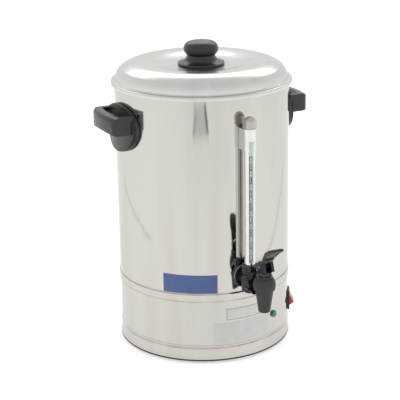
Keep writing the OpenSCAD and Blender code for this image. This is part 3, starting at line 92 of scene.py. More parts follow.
def shades(tree, amount, dark, light, start=0.3, stop=0.7):
    """Turns an amount into a colour between a dark and a light shade."""
    ramp = add(tree, "ValToRGB", {"Fac": amount})
    ends = ramp.color_ramp.elements
    ends[0].position, ends[1].position = start, stop
    ends[0].color, ends[1].color = (*dark, 1), (*light, 1)
    return ramp.outputs["Color"]


def relief(tree, bsdf, *layers):
    """Surface relief, from fine to coarse: each layer is a mottle and its height in metres."""
    normal = None
    for height_map, height in layers:
        sockets = {"Height": height_map, "Strength": 1.0, "Distance": height}
        if normal:
            sockets["Normal"] = normal
        normal = add(tree, "Bump", sockets).outputs["Normal"]
    tree.links.new(normal, bsdf.inputs["Normal"])


def mottled(name, shader, cloud, dark, light, rough, grain=None, shade=None):
    """A finish whose colour and gloss follow one cloud, given by its scale, detail and stretch.

    grain is the scale and height of the relief, and a scale of None takes the cloud itself for it.
    shade is a function that changes the colour further.
    """
    finish, tree, bsdf = new_finish(name, shader)
    clouds = mottle(tree, *cloud)
    colour = shades(tree, clouds, dark, light)
    tree.links.new(shade(tree, colour) if shade else colour, bsdf.inputs["Base Color"])
    tree.links.new(between(tree, clouds, *rough), bsdf.inputs["Roughness"])
    if grain:
        scale, height = grain
        relief(tree, bsdf, (mottle(tree, scale) if scale else clouds, height))
    return finish


def dress(finish, *names, crease=32, weld_gap=2e-6):
    """Gives CAD nodes their finish, and smooth faces with the creases kept sharp."""
    for name in names:
        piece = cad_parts[name]
        for slot in piece.material_slots:
            slot.material = finish
        if not piece.material_slots:
            piece.data.materials.append(finish)
        piece.data.polygons.foreach_set("use_smooth", [True] * len(piece.data.polygons))
        weld = piece.modifiers.new("weld", "WELD")
        weld.merge_threshold = weld_gap
        edges = piece.modifiers.new("creases", "EDGE_SPLIT")
        edges.split_angle = math.radians(crease)


rubber = mottled("dusty_rubber", {"Specular IOR Level": 0.3}, cloud=(60,), dark=(0.012, 0.012, 0.012),
                 light=(0.035, 0.034, 0.032), rough=(0.62, 0.8), grain=(2200, 0.00003))
dress(rubber, "foot_ring")


# Bottom cover: a disc of black moulded plastic that closes the base, seen from the side as a thin dark line.
# Four brackets and four screws hold it in the skirt. They are zinc-plated steel, uneven in gloss.

def moulded_black(name, dark, light, rough, grain, grain_height=0.00002):
    """Black plastic from the mould: fine grain, faint flow marks and slightly uneven gloss."""
    finish, tree, bsdf = new_finish(name, {"IOR": 1.5})
    flow = mottle(tree, scale=28, detail=4.0)
    tree.links.new(shades(tree, flow, dark, light), bsdf.inputs["Base Color"])
    tree.links.new(between(tree, mottle(tree, scale=90), *rough), bsdf.inputs["Roughness"])
    relief(tree, bsdf, (mottle(tree, grain, detail=2.0), grain_height), (flow, 0.0001))
    return finish


cover_black = moulded_black("cover_plastic", dark=(0.02, 0.02, 0.02), light=(0.034, 0.033, 0.032),
                            rough=(0.45, 0.6), grain=1800, grain_height=0.00004)
dress(cover_black, "bottom_cover")


# Painted shade: an occlusion test darkens the colour in corners and gaps between parts.
def sheltered(tree, colour, reach=0.005, depth=0.75):
    """Painted contact shade: darkens a metal's colour where another piece sits close over it."""
    open_sky = add(tree, "AmbientOcclusion", {"Distance": reach}, samples=8).outputs["AO"]
    shade = between(tree, open_sky, 1 - depth, 1.0, start=0.15, stop=0.75)
    return add(tree, "VectorMath", {0: colour, "Scale": shade}, operation="SCALE").outputs["Vector"]


def plated(name, dark, light, rough, scale=160, height=0.00001, film=False):
    """Plated or plain metal with faint marks, and painted contact shade in its corners where film says so."""
    return mottled(name, {"Metallic": 1.0}, cloud=(scale, 5.0), dark=dark, light=light, rough=rough,
                   grain=(scale * 6, height), shade=sheltered if film else None)


zinc = plated("zinc_plate", dark=(0.42, 0.42, 0.40), light=(0.62, 0.62, 0.60), rough=(0.28, 0.45))
dress(zinc, "foot_screws", "cover_brackets")


# Skirt, tank and lid: stainless sheet, rolled and pressed, then polished in the lathe to a soft mirror.
# The polish runs round the urn in fine rings, and the sheet keeps a slight wave that bends what it mirrors.

def calc(tree, operation, *amounts):
    """Works out one number from numbers and earlier steps."""
    return add(tree, "Math", dict(enumerate(amounts)), operation=operation).outputs["Value"]


def parts_of(tree, vector):
    """The three parts of a place, under their letters."""
    return add(tree, "SeparateXYZ", {"Vector": vector}).outputs


def turned_marks(tree, fine, slow):
    """Fine rings round the urn's upright axis, which drift slowly on their way round."""
    spot = parts_of(tree, add(tree, "TexCoord").outputs["Object"])
    across = add(tree, "CombineXYZ", {"X": spot["X"], "Y": spot["Y"]}).outputs["Vector"]
    radius = add(tree, "VectorMath", {0: across}, operation="LENGTH").outputs["Value"]
    ring = calc(tree, "MULTIPLY", radius, fine)
    level = calc(tree, "MULTIPLY", spot["Z"], fine)
    drift_x = calc(tree, "MULTIPLY", spot["X"], slow)
    drift_y = calc(tree, "MULTIPLY", spot["Y"], slow)
    mark = add(tree, "CombineXYZ", {"X": ring, "Y": level, "Z": drift_x}).outputs["Vector"]
    return add(tree, "TexNoise", {"Vector": mark, "W": drift_y, "Scale": 1.0, "Detail": 2.0},
               noise_dimensions="4D").outputs["Fac"]


def grime(tree, heights, width):
    """How much the colour is darkened to brown along lines at some heights, the seams and the lid's rim,
    patchy on its way round.
    """
    level = parts_of(tree, add(tree, "TexCoord").outputs["Object"])["Z"]
    film = None
    for height in heights:
        off = calc(tree, "ABSOLUTE", calc(tree, "SUBTRACT", level, height))
        line = add(tree, "MapRange", {"Value": off, "From Max": width, "To Min": 1.0, "To Max": 0.0},
                   interpolation_type="SMOOTHSTEP").outputs["Result"]
        film = calc(tree, "MAXIMUM", film, line) if film else line
    patchy = between(tree, mottle(tree, scale=26, detail=5.0, stretch=(1, 1, 0.3)), 0.15, 1.0)
    return calc(tree, "MULTIPLY", film, patchy)


def laid_over(tree, amount, under, over):
    """Lays a plain colour over another, more or less."""
    return add(tree, "MixRGB", {"Fac": amount, "Color1": under, "Color2": (*over, 1)}).outputs["Color"]


def polished_sheet(name, dark, light, rough, wave, seams=(), seam_w=0.0022, ring_depth=0.0000012):
    """Polished sheet: soft patches, faint upright streaks, polishing rings, a slight wave, dark brown seam
    lines and painted contact shade.
    """
    finish, tree, bsdf = new_finish(name, {"Metallic": 1.0, "Specular Tint": (0.86, 0.87, 0.87, 1)})
    rings = turned_marks(tree, fine=2600, slow=9)
    patches = mottle(tree, scale=7, stretch=(1, 1, 0.45))
    streaks = mottle(tree, scale=38, stretch=(1, 1, 0.07))
    colour = shades(tree, calc(tree, "ADD", patches, streaks), dark, light, start=0.75, stop=1.25)
    if seams:
        # The colour is darkened to brown along the seams and just under the lid's rim.
        colour = laid_over(tree, grime(tree, seams, seam_w), colour, (0.30, 0.25, 0.19))
    # Painted contact shade darkens the colour where other pieces sit close over the sheet.
    tree.links.new(sheltered(tree, colour), bsdf.inputs["Base Color"])
    haze = calc(tree, "ADD", between(tree, rings, -0.02, 0.02), between(tree, patches, *rough))
    tree.links.new(haze, bsdf.inputs["Roughness"])
    relief(tree, bsdf, (rings, ring_depth), (mottle(tree, scale=14, detail=1.0, stretch=(1, 1, 0.5)), wave))
    return finish


skirt_bead_z, band_foot_z, band_top_z, lid_rim_z = 0.0245, 0.1012, 0.1135, 0.418
tank_steel = polished_sheet(
    "polished_tank_steel", dark=(0.535, 0.512, 0.478), light=(0.565, 0.547, 0.513), rough=(0.06, 0.10),
    wave=0.00012, seams=(band_top_z, band_foot_z, lid_rim_z, skirt_bead_z),
)
dress(tank_steel, "base_skirt", "tank_shell")

lid_steel = polished_sheet("polished_lid_steel", dark=(0.63, 0.62, 0.595), light=(0.665, 0.655, 0.63),
                           rough=(0.23, 0.28), wave=0.00005)
dress(lid_steel, "lid_shell")


# Pan and guide ring: the same sheet, left as it came from the press. The pan closes the tank's foot
# with a heated well in its middle, and the guide ring is spot welded under the lid.

pressed_steel = plated("pressed_sheet", dark=(0.50, 0.485, 0.46), light=(0.60, 0.585, 0.56),
                       rough=(0.22, 0.34), scale=40, height=0.00002)
dress(pressed_steel, "tank_bottom", "lid_ring")


# Heater: a cast aluminium plate under the pan, a tubular element in a cast clamp, and one nut on the pan's
# stud, which draws all three together. The element's tube is stained by heat, from straw to blue-grey.

cast_aluminium = plated("cast_aluminium", dark=(0.42, 0.43, 0.44), light=(0.60, 0.61, 0.62),
                        rough=(0.45, 0.62), scale=320, height=0.00008)
dress(cast_aluminium, "heat_plate", "element_clamp")
dress(zinc, "clamp_nut")

stained_tube = plated("heat_stained_tube", dark=(0.10, 0.095, 0.11), light=(0.36, 0.29, 0.20),
                      rough=(0.32, 0.5), scale=34)
dress(stained_tube, "heating_element")


# Thermostats, cut-out and terminal block: pale glazed ceramic, held under the pan by spring steel clips.
# Each wire runs in a heat-proof sleeve to its brass tag.

ceramic = mottled("glazed_ceramic", {"Specular IOR Level": 0.6}, cloud=(240, 4.0), dark=(0.62, 0.60, 0.54),
                  light=(0.74, 0.73, 0.69), rough=(0.28, 0.42), grain=(None, 0.00003))
dress(ceramic, "boil_thermostat", "warm_thermostat", "thermal_cutout", "terminal_block")

spring_steel = plated("spring_steel", dark=(0.36, 0.36, 0.37), light=(0.5, 0.5, 0.5), rough=(0.25, 0.4))
dress(spring_steel, "thermostat_clips")

brass = plated("turned_brass", dark=(0.56, 0.40, 0.17), light=(0.72, 0.54, 0.25), rough=(0.22, 0.4),
               scale=120)
dress(brass, "earth_stud")

sleeving = mottled("braided_sleeving", {"Sheen Weight": 0.2}, cloud=(1400, 2.0), dark=(0.50, 0.47, 0.40),
                   light=(0.78, 0.76, 0.70), rough=(0.6, 0.85), grain=(None, 0.0001))
dress(sleeving, "wiring")


# Controls in the skirt: appliance inlet at the rear, switch and pilot lamp on the tap's right.
# The housings are black plastic, the rocker and the lens are moulded in their colour, and the pins are brass.

panel_black = moulded_black("panel_plastic", dark=(0.010, 0.010, 0.010), light=(0.018, 0.018, 0.018),
                            rough=(0.3, 0.42), grain=2400)
dress(panel_black, "power_inlet", "switch_housing", "pilot_body")
dress(brass, "inlet_pins", "switch_terminals")
dress(zinc, "inlet_screws")

rocker_red = mottled(
    "rocker_plastic", {"Subsurface Weight": 0.15, "Coat Weight": 0.3, "Coat Roughness": 0.12},
    cloud=(180,), dark=(0.52, 0.012, 0.045), light=(0.66, 0.03, 0.07), rough=(0.26, 0.36),
    grain=(1800, 0.00001),
)
dress(rocker_red, "switch_rocker")

lens_green = mottled(
    "lens_plastic", {"Transmission Weight": 0.35, "IOR": 1.49, "Coat Weight": 0.6, "Coat Roughness": 0.05},
    cloud=(420, 1.0), dark=(0.012, 0.17, 0.115), light=(0.03, 0.34, 0.22), rough=(0.1, 0.2),
    grain=(None, 0.0003),
)
dress(lens_green, "pilot_lens")


# Marks on the rocker: a bar on its upper half and a ring on its lower half, printed in white.
# They are thin pads that lie on the rocker's two faces and tilt with it.

def joined_piece(name, body, finish, corners, faces, smooth=False):
    """A mesh piece from its corners and faces, riding on one body."""
    mesh = bpy.data.meshes.new(name)
    mesh.from_pydata(corners, [], faces)
    shaper = bmesh.new()
    shaper.from_mesh(mesh)
    bmesh.ops.remove_doubles(shaper, verts=shaper.verts, dist=1e-7)
    bmesh.ops.recalc_face_normals(shaper, faces=shaper.faces)
    shaper.to_mesh(mesh)
    shaper.free()
    mesh.polygons.foreach_set("use_smooth", [smooth] * len(mesh.polygons))
    mesh.materials.append(finish)
    piece = bpy.data.objects.new(name, mesh)
    bpy.context.scene.collection.objects.link(piece)
    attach(piece, body)
    return piece


white_print = mottled("white_print", {}, cloud=(900, 4.0), dark=(0.62, 0.61, 0.58), light=(0.82, 0.82, 0.80),
                      rough=(0.4, 0.6))

switch_azimuth, rocker_lean = math.radians(60), math.radians(13)
pivot_reach, pivot_z, ridge_reach = 0.12565, 0.0545, 0.016
face_h, face_fall = 0.0107, 0.0067
face_angle = math.atan2(face_h, -face_fall)
mark_r, mark_step, pad_foot, pad_top = 0.0024, 0.0064, -0.00005, 0.00006
bar_half_t, bar_fill, ring_hole, ring_sides = 0.00045, (0.55, 0.3), 0.68, 28
switch_axis = Matrix.Rotation(switch_azimuth, 4, "Z") @ Matrix.Rotation(math.radians(-90), 4, "Z")
pivot = Matrix.Translation((pivot_reach, 0, pivot_z))
rocker_place = switch_axis @ pivot @ Matrix.Rotation(rocker_lean, 4, "Y")
mark_corners, mark_faces = [], []


def printed_mark(side, rim, inner, hollow):
    """One pad on the rocker's upper (1) or lower (-1) face, from its outline and a smaller one inside it."""
    along = Vector((math.cos(face_angle), 0, side * math.sin(face_angle)))
    out = Vector((math.sin(face_angle), 0, -side * math.cos(face_angle)))
    middle = Vector((ridge_reach, 0, 0)) + along * mark_step
    base, count = len(mark_corners), len(rim)
    for lift in (pad_foot, pad_top):
        for u, v in rim + inner:
            mark_corners.append(rocker_place @ (middle + along * u + Vector((0, v, 0)) + out * lift))
    low_rim, low_in, top_rim, top_in = (base + count * part for part in range(4))
    walls = [(top_rim, top_in), (low_rim, low_in), (low_rim, top_rim)]
    if hollow:
        walls.append((low_in, top_in))
    for k in range(count):
        n = (k + 1) % count
        mark_faces.extend([(a + k, a + n, b + n, b + k) for a, b in walls])
    if not hollow:
        mark_faces.extend([range(low_in, low_in + count), range(top_in, top_in + count)])


bar = [(-mark_r, -bar_half_t), (mark_r, -bar_half_t), (mark_r, bar_half_t), (-mark_r, bar_half_t)]
printed_mark(1, bar, [(bar_fill[0] * u, bar_fill[1] * v) for u, v in bar], hollow=False)
turns = [2 * math.pi * k / ring_sides for k in range(ring_sides)]
ring = [(mark_r * math.cos(turn), mark_r * math.sin(turn)) for turn in turns]
printed_mark(-1, ring, [(ring_hole * u, ring_hole * v) for u, v in ring], hollow=True)
joined_piece("rocker_marks", "rocker", white_print, mark_corners, mark_faces)


# Handles and knob: satin black phenolic, pressed hot in the mould, with rounded edges that shine from use.
# Screws hold them from inside. A rubber gasket and silicone seals keep each handle's screws tight.

phenolic = moulded_black("pressed_phenolic", dark=(0.017, 0.019, 0.019), light=(0.027, 0.030, 0.029),
                         rough=(0.24, 0.36), grain=1500)
dress(phenolic, "left_handle", "right_handle", "lid_knob", crease=40)
dress(rubber, "handle_gaskets")
dress(zinc, "handle_screws", "knob_screw")

silicone = mottled(
    "silicone_rubber", {"Subsurface Weight": 0.3, "IOR": 1.41}, cloud=(130,), dark=(0.60, 0.57, 0.50),
    light=(0.72, 0.70, 0.63), rough=(0.4, 0.55), grain=(1600, 0.00002),
)
dress(silicone, "handle_seals")


# Sight gauge: a glass tube in a slotted chromed guard, clamped by a saddle bracket, washer and domed cap nut.
# A ladder of level ticks with a count is printed on the glass, and a white channel stands behind it. The
# channel glows faintly, painted light for the light that reaches it through the slot.

# Both chromes take film=True, which lays painted contact shade into the corners where guard, bracket and tank
# meet.
chrome = plated("bright_chrome", dark=(0.66, 0.675, 0.66), light=(0.74, 0.755, 0.74), rough=(0.14, 0.24),
                scale=60, height=0.000006, film=True)
dress(chrome, "gauge_guard", "gauge_washer")

saddle_chrome = plated("saddle_chrome", dark=(0.68, 0.69, 0.675), light=(0.77, 0.78, 0.765),
                       rough=(0.26, 0.36), scale=60, height=0.000006, film=True)
dress(saddle_chrome, "gauge_bracket")

cast_cap = plated("cast_cap_nut", dark=(0.42, 0.41, 0.375), light=(0.54, 0.525, 0.485), rough=(0.3, 0.44),
                  scale=420, height=0.00006)
dress(cast_cap, "gauge_cap_nut")
dress(zinc, "bracket_nut")
dress(silicone, "gauge_seals")

glass, tree, bsdf = new_finish("gauge_glass_tube", {"Base Color": (0.92, 0.97, 0.95, 1), "IOR": 1.47})
film = mottle(tree, scale=70, detail=2.0, stretch=(1, 1, 0.2))
tree.links.new(between(tree, film, 0.02, 0.1), bsdf.inputs["Roughness"])
tree.links.new(between(tree, film, 0.24, 0.36), bsdf.inputs["Alpha"])
relief(tree, bsdf, (film, 0.00001))
dress(glass, "gauge_glass")

# Its emission is painted light: the channel glows faintly though it is no lamp.
glowing_channel = mottled(
    "scale_strip_glowing_plastic", {"Emission Color": (0.9, 0.95, 0.93, 1), "Emission Strength": 0.45},
    cloud=(50, 3.0, (1, 1, 0.4)), dark=(0.80, 0.81, 0.80), light=(0.88, 0.89, 0.88), rough=(0.35, 0.5),
)
dress(glowing_channel, "gauge_scale")

ink = mottled("black_ink", {}, cloud=(800, 4.0), dark=(0.010, 0.010, 0.010), light=(0.03, 0.03, 0.03),
              rough=(0.4, 0.6))


def bent_strip(corners, faces, axis_y, inner, outer, stations):
    """Adds one strip bent round an upright axis: each station has its turn, its lower and its upper edge."""
    base = len(corners)
    for turn, low, high in stations:
        for radius in (inner, outer):
            for z in (low, high):
                corners.append((radius * math.sin(turn), axis_y - radius * math.cos(turn), z))
    last = base + 4 * (len(stations) - 1)
    for a in range(base, last, 4):
        b = a + 4
        faces += [(a, a + 1, b + 1, b), (a + 2, a + 3, b + 3, b + 2)]
        faces += [(a, a + 2, b + 2, b), (a + 1, a + 3, b + 3, b + 1)]
    faces += [(end, end + 1, end + 3, end + 2) for end in (base, last)]


glass_low, glass_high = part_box("gauge_glass")
gauge_y, glass_r = (glass_low[1] + glass_high[1]) / 2, (glass_high[1] - glass_low[1]) / 2
print_turn, print_sunk, print_proud, patch_step = math.radians(-8), 0.00002, 0.00005, 0.0008
print_corners, print_faces = [], []


def printed_patch(u0, u1, z0, z1):
    """One inked patch on the outside of the glass, between two distances round it from the print's middle."""
    parts = max(1, math.ceil((u1 - u0) / patch_step))
    stations = [(print_turn + (u0 + (u1 - u0) * k / parts) / glass_r, z0, z1) for k in range(parts + 1)]
    bent_strip(print_corners, print_faces, gauge_y, glass_r - print_sunk, glass_r + print_proud, stations)


def printed_digit(digit, middle, foot, width, height, pen=0.0005):
    """One numeral drawn with the seven straight strokes of a stencil."""
    strokes = {0: "abcdef", 1: "bc", 5: "acdfg", 6: "acdefg", 7: "abc", 8: "abcdefg", 9: "abcdfg"}[digit]
    left, right, half, top = middle - width / 2, middle + width / 2, foot + height / 2, foot + height
    places = {
        "a": (left, right, top - pen, top), "d": (left, right, foot, foot + pen),
        "g": (left, right, half - pen / 2, half + pen / 2),
        "f": (left, left + pen, half, top), "e": (left, left + pen, foot, half),
        "b": (right - pen, right, half, top), "c": (right - pen, right, foot, half),
    }
    for stroke in strokes:
        printed_patch(*places[stroke])


cell, first_line, ladder_foot, ladder_head = 0.0202, 0.180, 0.1655, 0.330
rail_u, rail_w, rail_gap = 0.0021, 0.0011, 0.0009
rungs = ((0.0009, 0.0006), (0.0073, 0.0012), (0.0094, 0.0005), (0.0180, 0.0006))
first_number, last_number = 5, 11
digit_foot, digit_h, digit_pitch, wide_digit, narrow_digit = 0.0109, 0.0062, 0.0015, 0.0022, 0.0011
for number in range(first_number - 1, last_number + 2):
    foot = first_line + (number - first_number) * cell
    low, high = max(foot + rail_gap, ladder_foot), min(foot + cell - rail_gap, ladder_head)
    for side in (-1, 1):
        printed_patch(side * rail_u - rail_w / 2, side * rail_u + rail_w / 2, low, high)
    for rung, rung_t in rungs:
        if low <= foot + rung and foot + rung + rung_t <= high:
            printed_patch(-rail_u, rail_u, foot + rung, foot + rung + rung_t)
    if first_number <= number <= last_number:
        digits = [int(figure) for figure in str(number)]
        width = wide_digit if len(digits) == 1 else narrow_digit
        for n, digit in enumerate(digits):
            middle = (n - (len(digits) - 1) / 2) * digit_pitch
            printed_digit(digit, middle, foot + digit_foot, width, digit_h)
joined_piece("scale_ticks", "urn", ink, print_corners, print_faces)


# Tap: moulded black plastic, satin on the body and glossy on the nuts, shank, bonnet and lever. The lever's
# underside is rougher and painted pale grey, a painted reflection of the pale table. Its pin is steel, the
# stem blackened brass, and silicone seals the joints.

tap_satin = moulded_black("tap_body_plastic", dark=(0.024, 0.026, 0.024), light=(0.040, 0.043, 0.039),
                          rough=(0.5, 0.62), grain=2600, grain_height=0.00005)
dress(tap_satin, "tap_body")

gloss_dark, gloss_light = (0.007, 0.007, 0.007), (0.014, 0.014, 0.014)
tap_gloss = moulded_black("tap_gloss_plastic", gloss_dark, gloss_light, rough=(0.16, 0.28), grain=1200,
                          grain_height=0.000008)
dress(tap_gloss, "gauge_gland_nut", "tap_shank", "shank_nut", "coupling_nut", "tap_bonnet")
dress(silicone, "shank_washers", "coupling_gasket", "seat_cup")

lever_black, tree, bsdf = new_finish("lever_plastic", {"IOR": 1.5})
grip_low, grip_high, grip_side = 0.188, 0.191, (0, -0.72, -0.69)
black = shades(tree, mottle(tree, scale=28, detail=4.0), gloss_dark, gloss_light)
# Painted reflection: faces turned down and forward, above 188 mm, get pale grey laid over them, and are made
# rougher.
normal = add(tree, "TexCoord").outputs["Normal"]
facing = add(tree, "VectorMath", {0: normal, 1: grip_side}, operation="DOT_PRODUCT").outputs["Value"]
under = between(tree, facing, 0, 1, start=0.72, stop=0.86)
level = parts_of(tree, add(tree, "TexCoord").outputs["Object"])["Z"]
above = between(tree, level, 0, 1, start=grip_low, stop=grip_high)
dulled = calc(tree, "MULTIPLY", under, above)
painted_underside_reflection = calc(tree, "MULTIPLY", dulled, between(tree, mottle(tree, scale=420, detail=5.0), 0.45, 1.0))
tree.links.new(laid_over(tree, painted_underside_reflection, black, (0.21, 0.22, 0.2)), bsdf.inputs["Base Color"])
tree.links.new(between(tree, dulled, 0.2, 0.6, start=0, stop=1), bsdf.inputs["Roughness"])
relief(tree, bsdf, (mottle(tree, scale=1200), 0.00001))
dress(lever_black, "tap_lever")
dress(spring_steel, "lever_pin")

blackened = plated("blackened_brass", dark=(0.02, 0.018, 0.016), light=(0.05, 0.045, 0.038),
                   rough=(0.3, 0.42), scale=120)
dress(blackened, "tap_stem")


# Closing spring: steel wire wound in six turns, between the seat cup and the bonnet.
# It shortens as the stem rises, but here it is an evenly wound coil that keeps one length.

wire_r, coil_turns, turn_steps, wire_sides = 0.00055, 6, 18, 8
coil_steps = coil_turns * turn_steps
coil_low, coil_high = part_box("tap_spring")
coil_r = (coil_high[1] - coil_low[1]) / 2 - wire_r
stem_y = (coil_high[1] + coil_low[1]) / 2
wire_foot, wire_rise = coil_low[2] + wire_r, coil_high[2] - coil_low[2] - 2 * wire_r
coil_corners, coil_faces = [], []
for i in range(coil_steps + 1):
    turn = 2 * math.pi * i / turn_steps
    for j in range(wire_sides):
        side = 2 * math.pi * j / wire_sides
        reach = coil_r + wire_r * math.cos(side)
        rise = wire_foot + wire_rise * i / coil_steps + wire_r * math.sin(side)
        coil_corners.append((reach * math.cos(turn), stem_y + reach * math.sin(turn), rise))
last_ring = wire_sides * coil_steps
for first in range(0, last_ring, wire_sides):
    for j in range(wire_sides):
        a, b = first + j, first + (j + 1) % wire_sides
        coil_faces.append((a, b, b + wire_sides, a + wire_sides))
coil_faces += [range(wire_sides), range(last_ring, last_ring + wire_sides)]
coil = joined_piece("closing_spring", "urn", spring_steel, coil_corners, coil_faces, smooth=True)
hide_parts("tap_spring")
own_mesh(coil)


# Percolator: pump tube, basket and spreader of spun aluminium, lifted out through the tank's mouth.
# Spinning leaves close rings round each piece, and coffee dulls the metal.

percolator, tree, bsdf = new_finish("spun_aluminium", {"Metallic": 1.0})
rings = turned_marks(tree, fine=1500, slow=5)
film = mottle(tree, scale=22, detail=4.0)
dulled = shades(tree, film, dark=(0.50, 0.50, 0.50), light=(0.66, 0.66, 0.65))
tree.links.new(dulled, bsdf.inputs["Base Color"])
haze = calc(tree, "ADD", between(tree, rings, -0.08, 0.08), between(tree, film, 0.34, 0.48))
tree.links.new(haze, bsdf.inputs["Roughness"])
relief(tree, bsdf, (rings, 0.00001))
dress(percolator, "pump_tube", "coffee_basket", "basket_cover")


# Plates: three bare self-adhesive foils on the polished sheet, a blue one on the tank and two pale ones on
# the skirt. Each is a thin sheet bent to the wall, and the upper pale one has a printed line round its edge.

def foil(name, dark, light, rough):
    """Printed foil: a thin gloss film, faintly scuffed."""
    return mottled(name, {"Coat Weight": 0.25, "Coat Roughness": 0.15}, cloud=(60, 5.0), dark=dark,
                   light=light, rough=rough, grain=(700, 0.00001))


tank_wall, skirt_wall, foil_t, foil_lift, foil_corner = 0.134, 0.1336, 0.00016, 0.00002, 0.0008
corner_steps, foil_step = 6, 0.0016


def wrapped_foils(name, finish, wall, foils, thickness=foil_t, lift=foil_lift):
    """Sheets bent to the wall: each has its span in degrees from the tap, its heights and corner radius."""
    corners, faces = [], []
    for (start, stop), (low, high), corner in foils:
        length = math.radians(stop - start) * wall
        bend = [0.0]
        if corner:
            arc = [math.pi / 2 * k / corner_steps for k in range(corner_steps + 1)]
            bend = [corner * (1 - math.cos(turn)) for turn in arc]
        straight = length - 2 * corner
        parts = max(2, round(straight / foil_step))
        places = bend + [corner + straight * k / parts for k in range(1, parts)]
        places += [length - place for place in reversed(bend)]
        stations = []
        for place in places:
            edge = min(place, length - place)
            inset = corner - math.sqrt(corner ** 2 - (corner - edge) ** 2) if edge < corner else 0.0
            stations.append((math.radians(start) + place / wall, low + inset, high - inset))
        bent_strip(corners, faces, 0.0, wall + lift, wall + lift + thickness, stations)
    joined_piece(name, "urn", finish, corners, faces)


blue_foil = foil("blue_foil", dark=(0.070, 0.120, 0.340), light=(0.090, 0.150, 0.390), rough=(0.3, 0.42))
name_span, name_heights = (-54.2, -18.3), (0.1146, 0.1440)
wrapped_foils("name_plate", blue_foil, tank_wall, [(name_span, name_heights, 0.0)])

pale_foil = foil("pale_foil", dark=(0.88, 0.89, 0.86), light=(0.95, 0.95, 0.93), rough=(0.35, 0.5))
upper_span, upper_heights = (-12.8, 13.2), (0.0685, 0.0875)
wrapped_foils("upper_plate", pale_foil, skirt_wall, [(upper_span, upper_heights, foil_corner)])

dull_foil = foil("dull_foil", dark=(0.82, 0.83, 0.79), light=(0.89, 0.90, 0.86), rough=(0.4, 0.55))
lower_span, lower_heights = (-21.3, 21.0), (0.031, 0.065)
wrapped_foils("lower_plate", dull_foil, skirt_wall, [(lower_span, lower_heights, foil_corner)])

line_inset, line_w, line_t, line_inset_turn, line_w_turn = 0.0006, 0.00045, 0.00004, 0.5, 0.2
left, right = upper_span[0] + line_inset_turn, upper_span[1] - line_inset_turn
foot, head = upper_heights[0] + line_inset, upper_heights[1] - line_inset
wrapped_foils("upper_plate_line", ink, skirt_wall + foil_lift + foil_t, [
    ((left, right), (foot, foot + line_w), 0.0),
    ((left, right), (head - line_w, head), 0.0),
    ((left, left + line_w_turn), (foot + line_w, head - line_w), 0.0),
    ((right - line_w_turn, right), (foot + line_w, head - line_w), 0.0),
], thickness=line_t, lift=0.0)


# Studio table: a wide pale floor under the urn. It keeps the urn's shadow, while the camera and the
# polished steel see it as white.

def seen_or_mirrored(tree):
    """1 for the camera and for what metal and glass show, 0 for the light itself."""
    path = add(tree, "LightPath").outputs
    direct = calc(tree, "MAXIMUM", path["Is Camera Ray"], path["Is Glossy Ray"])
    return calc(tree, "MAXIMUM", direct, path["Is Transmission Ray"])


def stage_sheet(name, material, corners, faces):
    """A flat piece of the studio."""
    mesh = bpy.data.meshes.new(name)
    mesh.from_pydata(corners, [], faces)
    mesh.materials.append(material)
    sheet = bpy.data.objects.new(name, mesh)
    bpy.context.scene.collection.objects.link(sheet)
    return sheet


table_white = bpy.data.materials.new("table_white")
table_white.use_nodes = True
tree = table_white.node_tree
tree.nodes.clear()
paper = add(tree, "BsdfDiffuse", {"Color": (0.8, 0.8, 0.8, 1)}).outputs["BSDF"]
glow = add(tree, "Emission", {"Color": (1, 1, 1, 1), "Strength": 0.56}).outputs["Emission"]
lifted = add(tree, "AddShader", {0: paper, 1: glow}).outputs["Shader"]
table_mix = add(tree, "MixShader", {0: seen_or_mirrored(tree), 1: paper, 2: lifted}).outputs["Shader"]
add(tree, "OutputMaterial", {"Surface": table_mix})
table_reach = 6
table_corners = [(table_reach * x, table_reach * y, 0) for x, y in ((-1, -1), (1, -1), (1, 1), (-1, 1))]
stage_sheet("table", table_white, table_corners, [(0, 1, 2, 3)])


# What the steel mirrors: two dark sheets and a paler one ahead of the urn, and the dark edges of the table
# on both sides. They show only in polished surfaces and throw no shadow.

camera_azimuth = math.radians(-26.8)


def toward_camera(side, ahead, z):
    """A point given by its distance to the camera's right and its distance ahead of the urn."""
    turn = camera_azimuth
    return (side * math.cos(turn) + ahead * math.sin(turn), side * math.sin(turn) - ahead * math.cos(turn), z)


def mirror_only(sheet):
    """Shows only in polished surfaces, and casts no shadow."""
    sheet.visible_camera = sheet.visible_diffuse = sheet.visible_shadow = False
    sheet.visible_transmission = sheet.visible_volume_scatter = False


sheet_ahead = 1.10
for name, tone, glow, corners in (
    ("sheet_left", 0.06, 0.0, [(-0.233, 0.112), (-0.180, 0.112), (-0.131, 0.148), (-0.163, 0.148)]),
    ("sheet_right", 0.04, 0.0, [(0.098, 0.122), (0.155, 0.118), (0.089, 0.173), (0.045, 0.174)]),
    ("sheet_middle", 0.6, 0.33, [(-0.200, 0.112), (0.118, 0.118), (0.052, 0.174), (-0.190, 0.172)]),
):
    cloth, *_ = new_finish(name, {
        "Base Color": (tone, tone, tone, 1), "Roughness": 0.8,
        "Emission Color": (1, 1, 1, 1), "Emission Strength": glow,
    })
    corners = [toward_camera(side, sheet_ahead, z) for side, z in corners]
    mirror_only(stage_sheet(name, cloth, corners, [(0, 1, 2, 3)]))

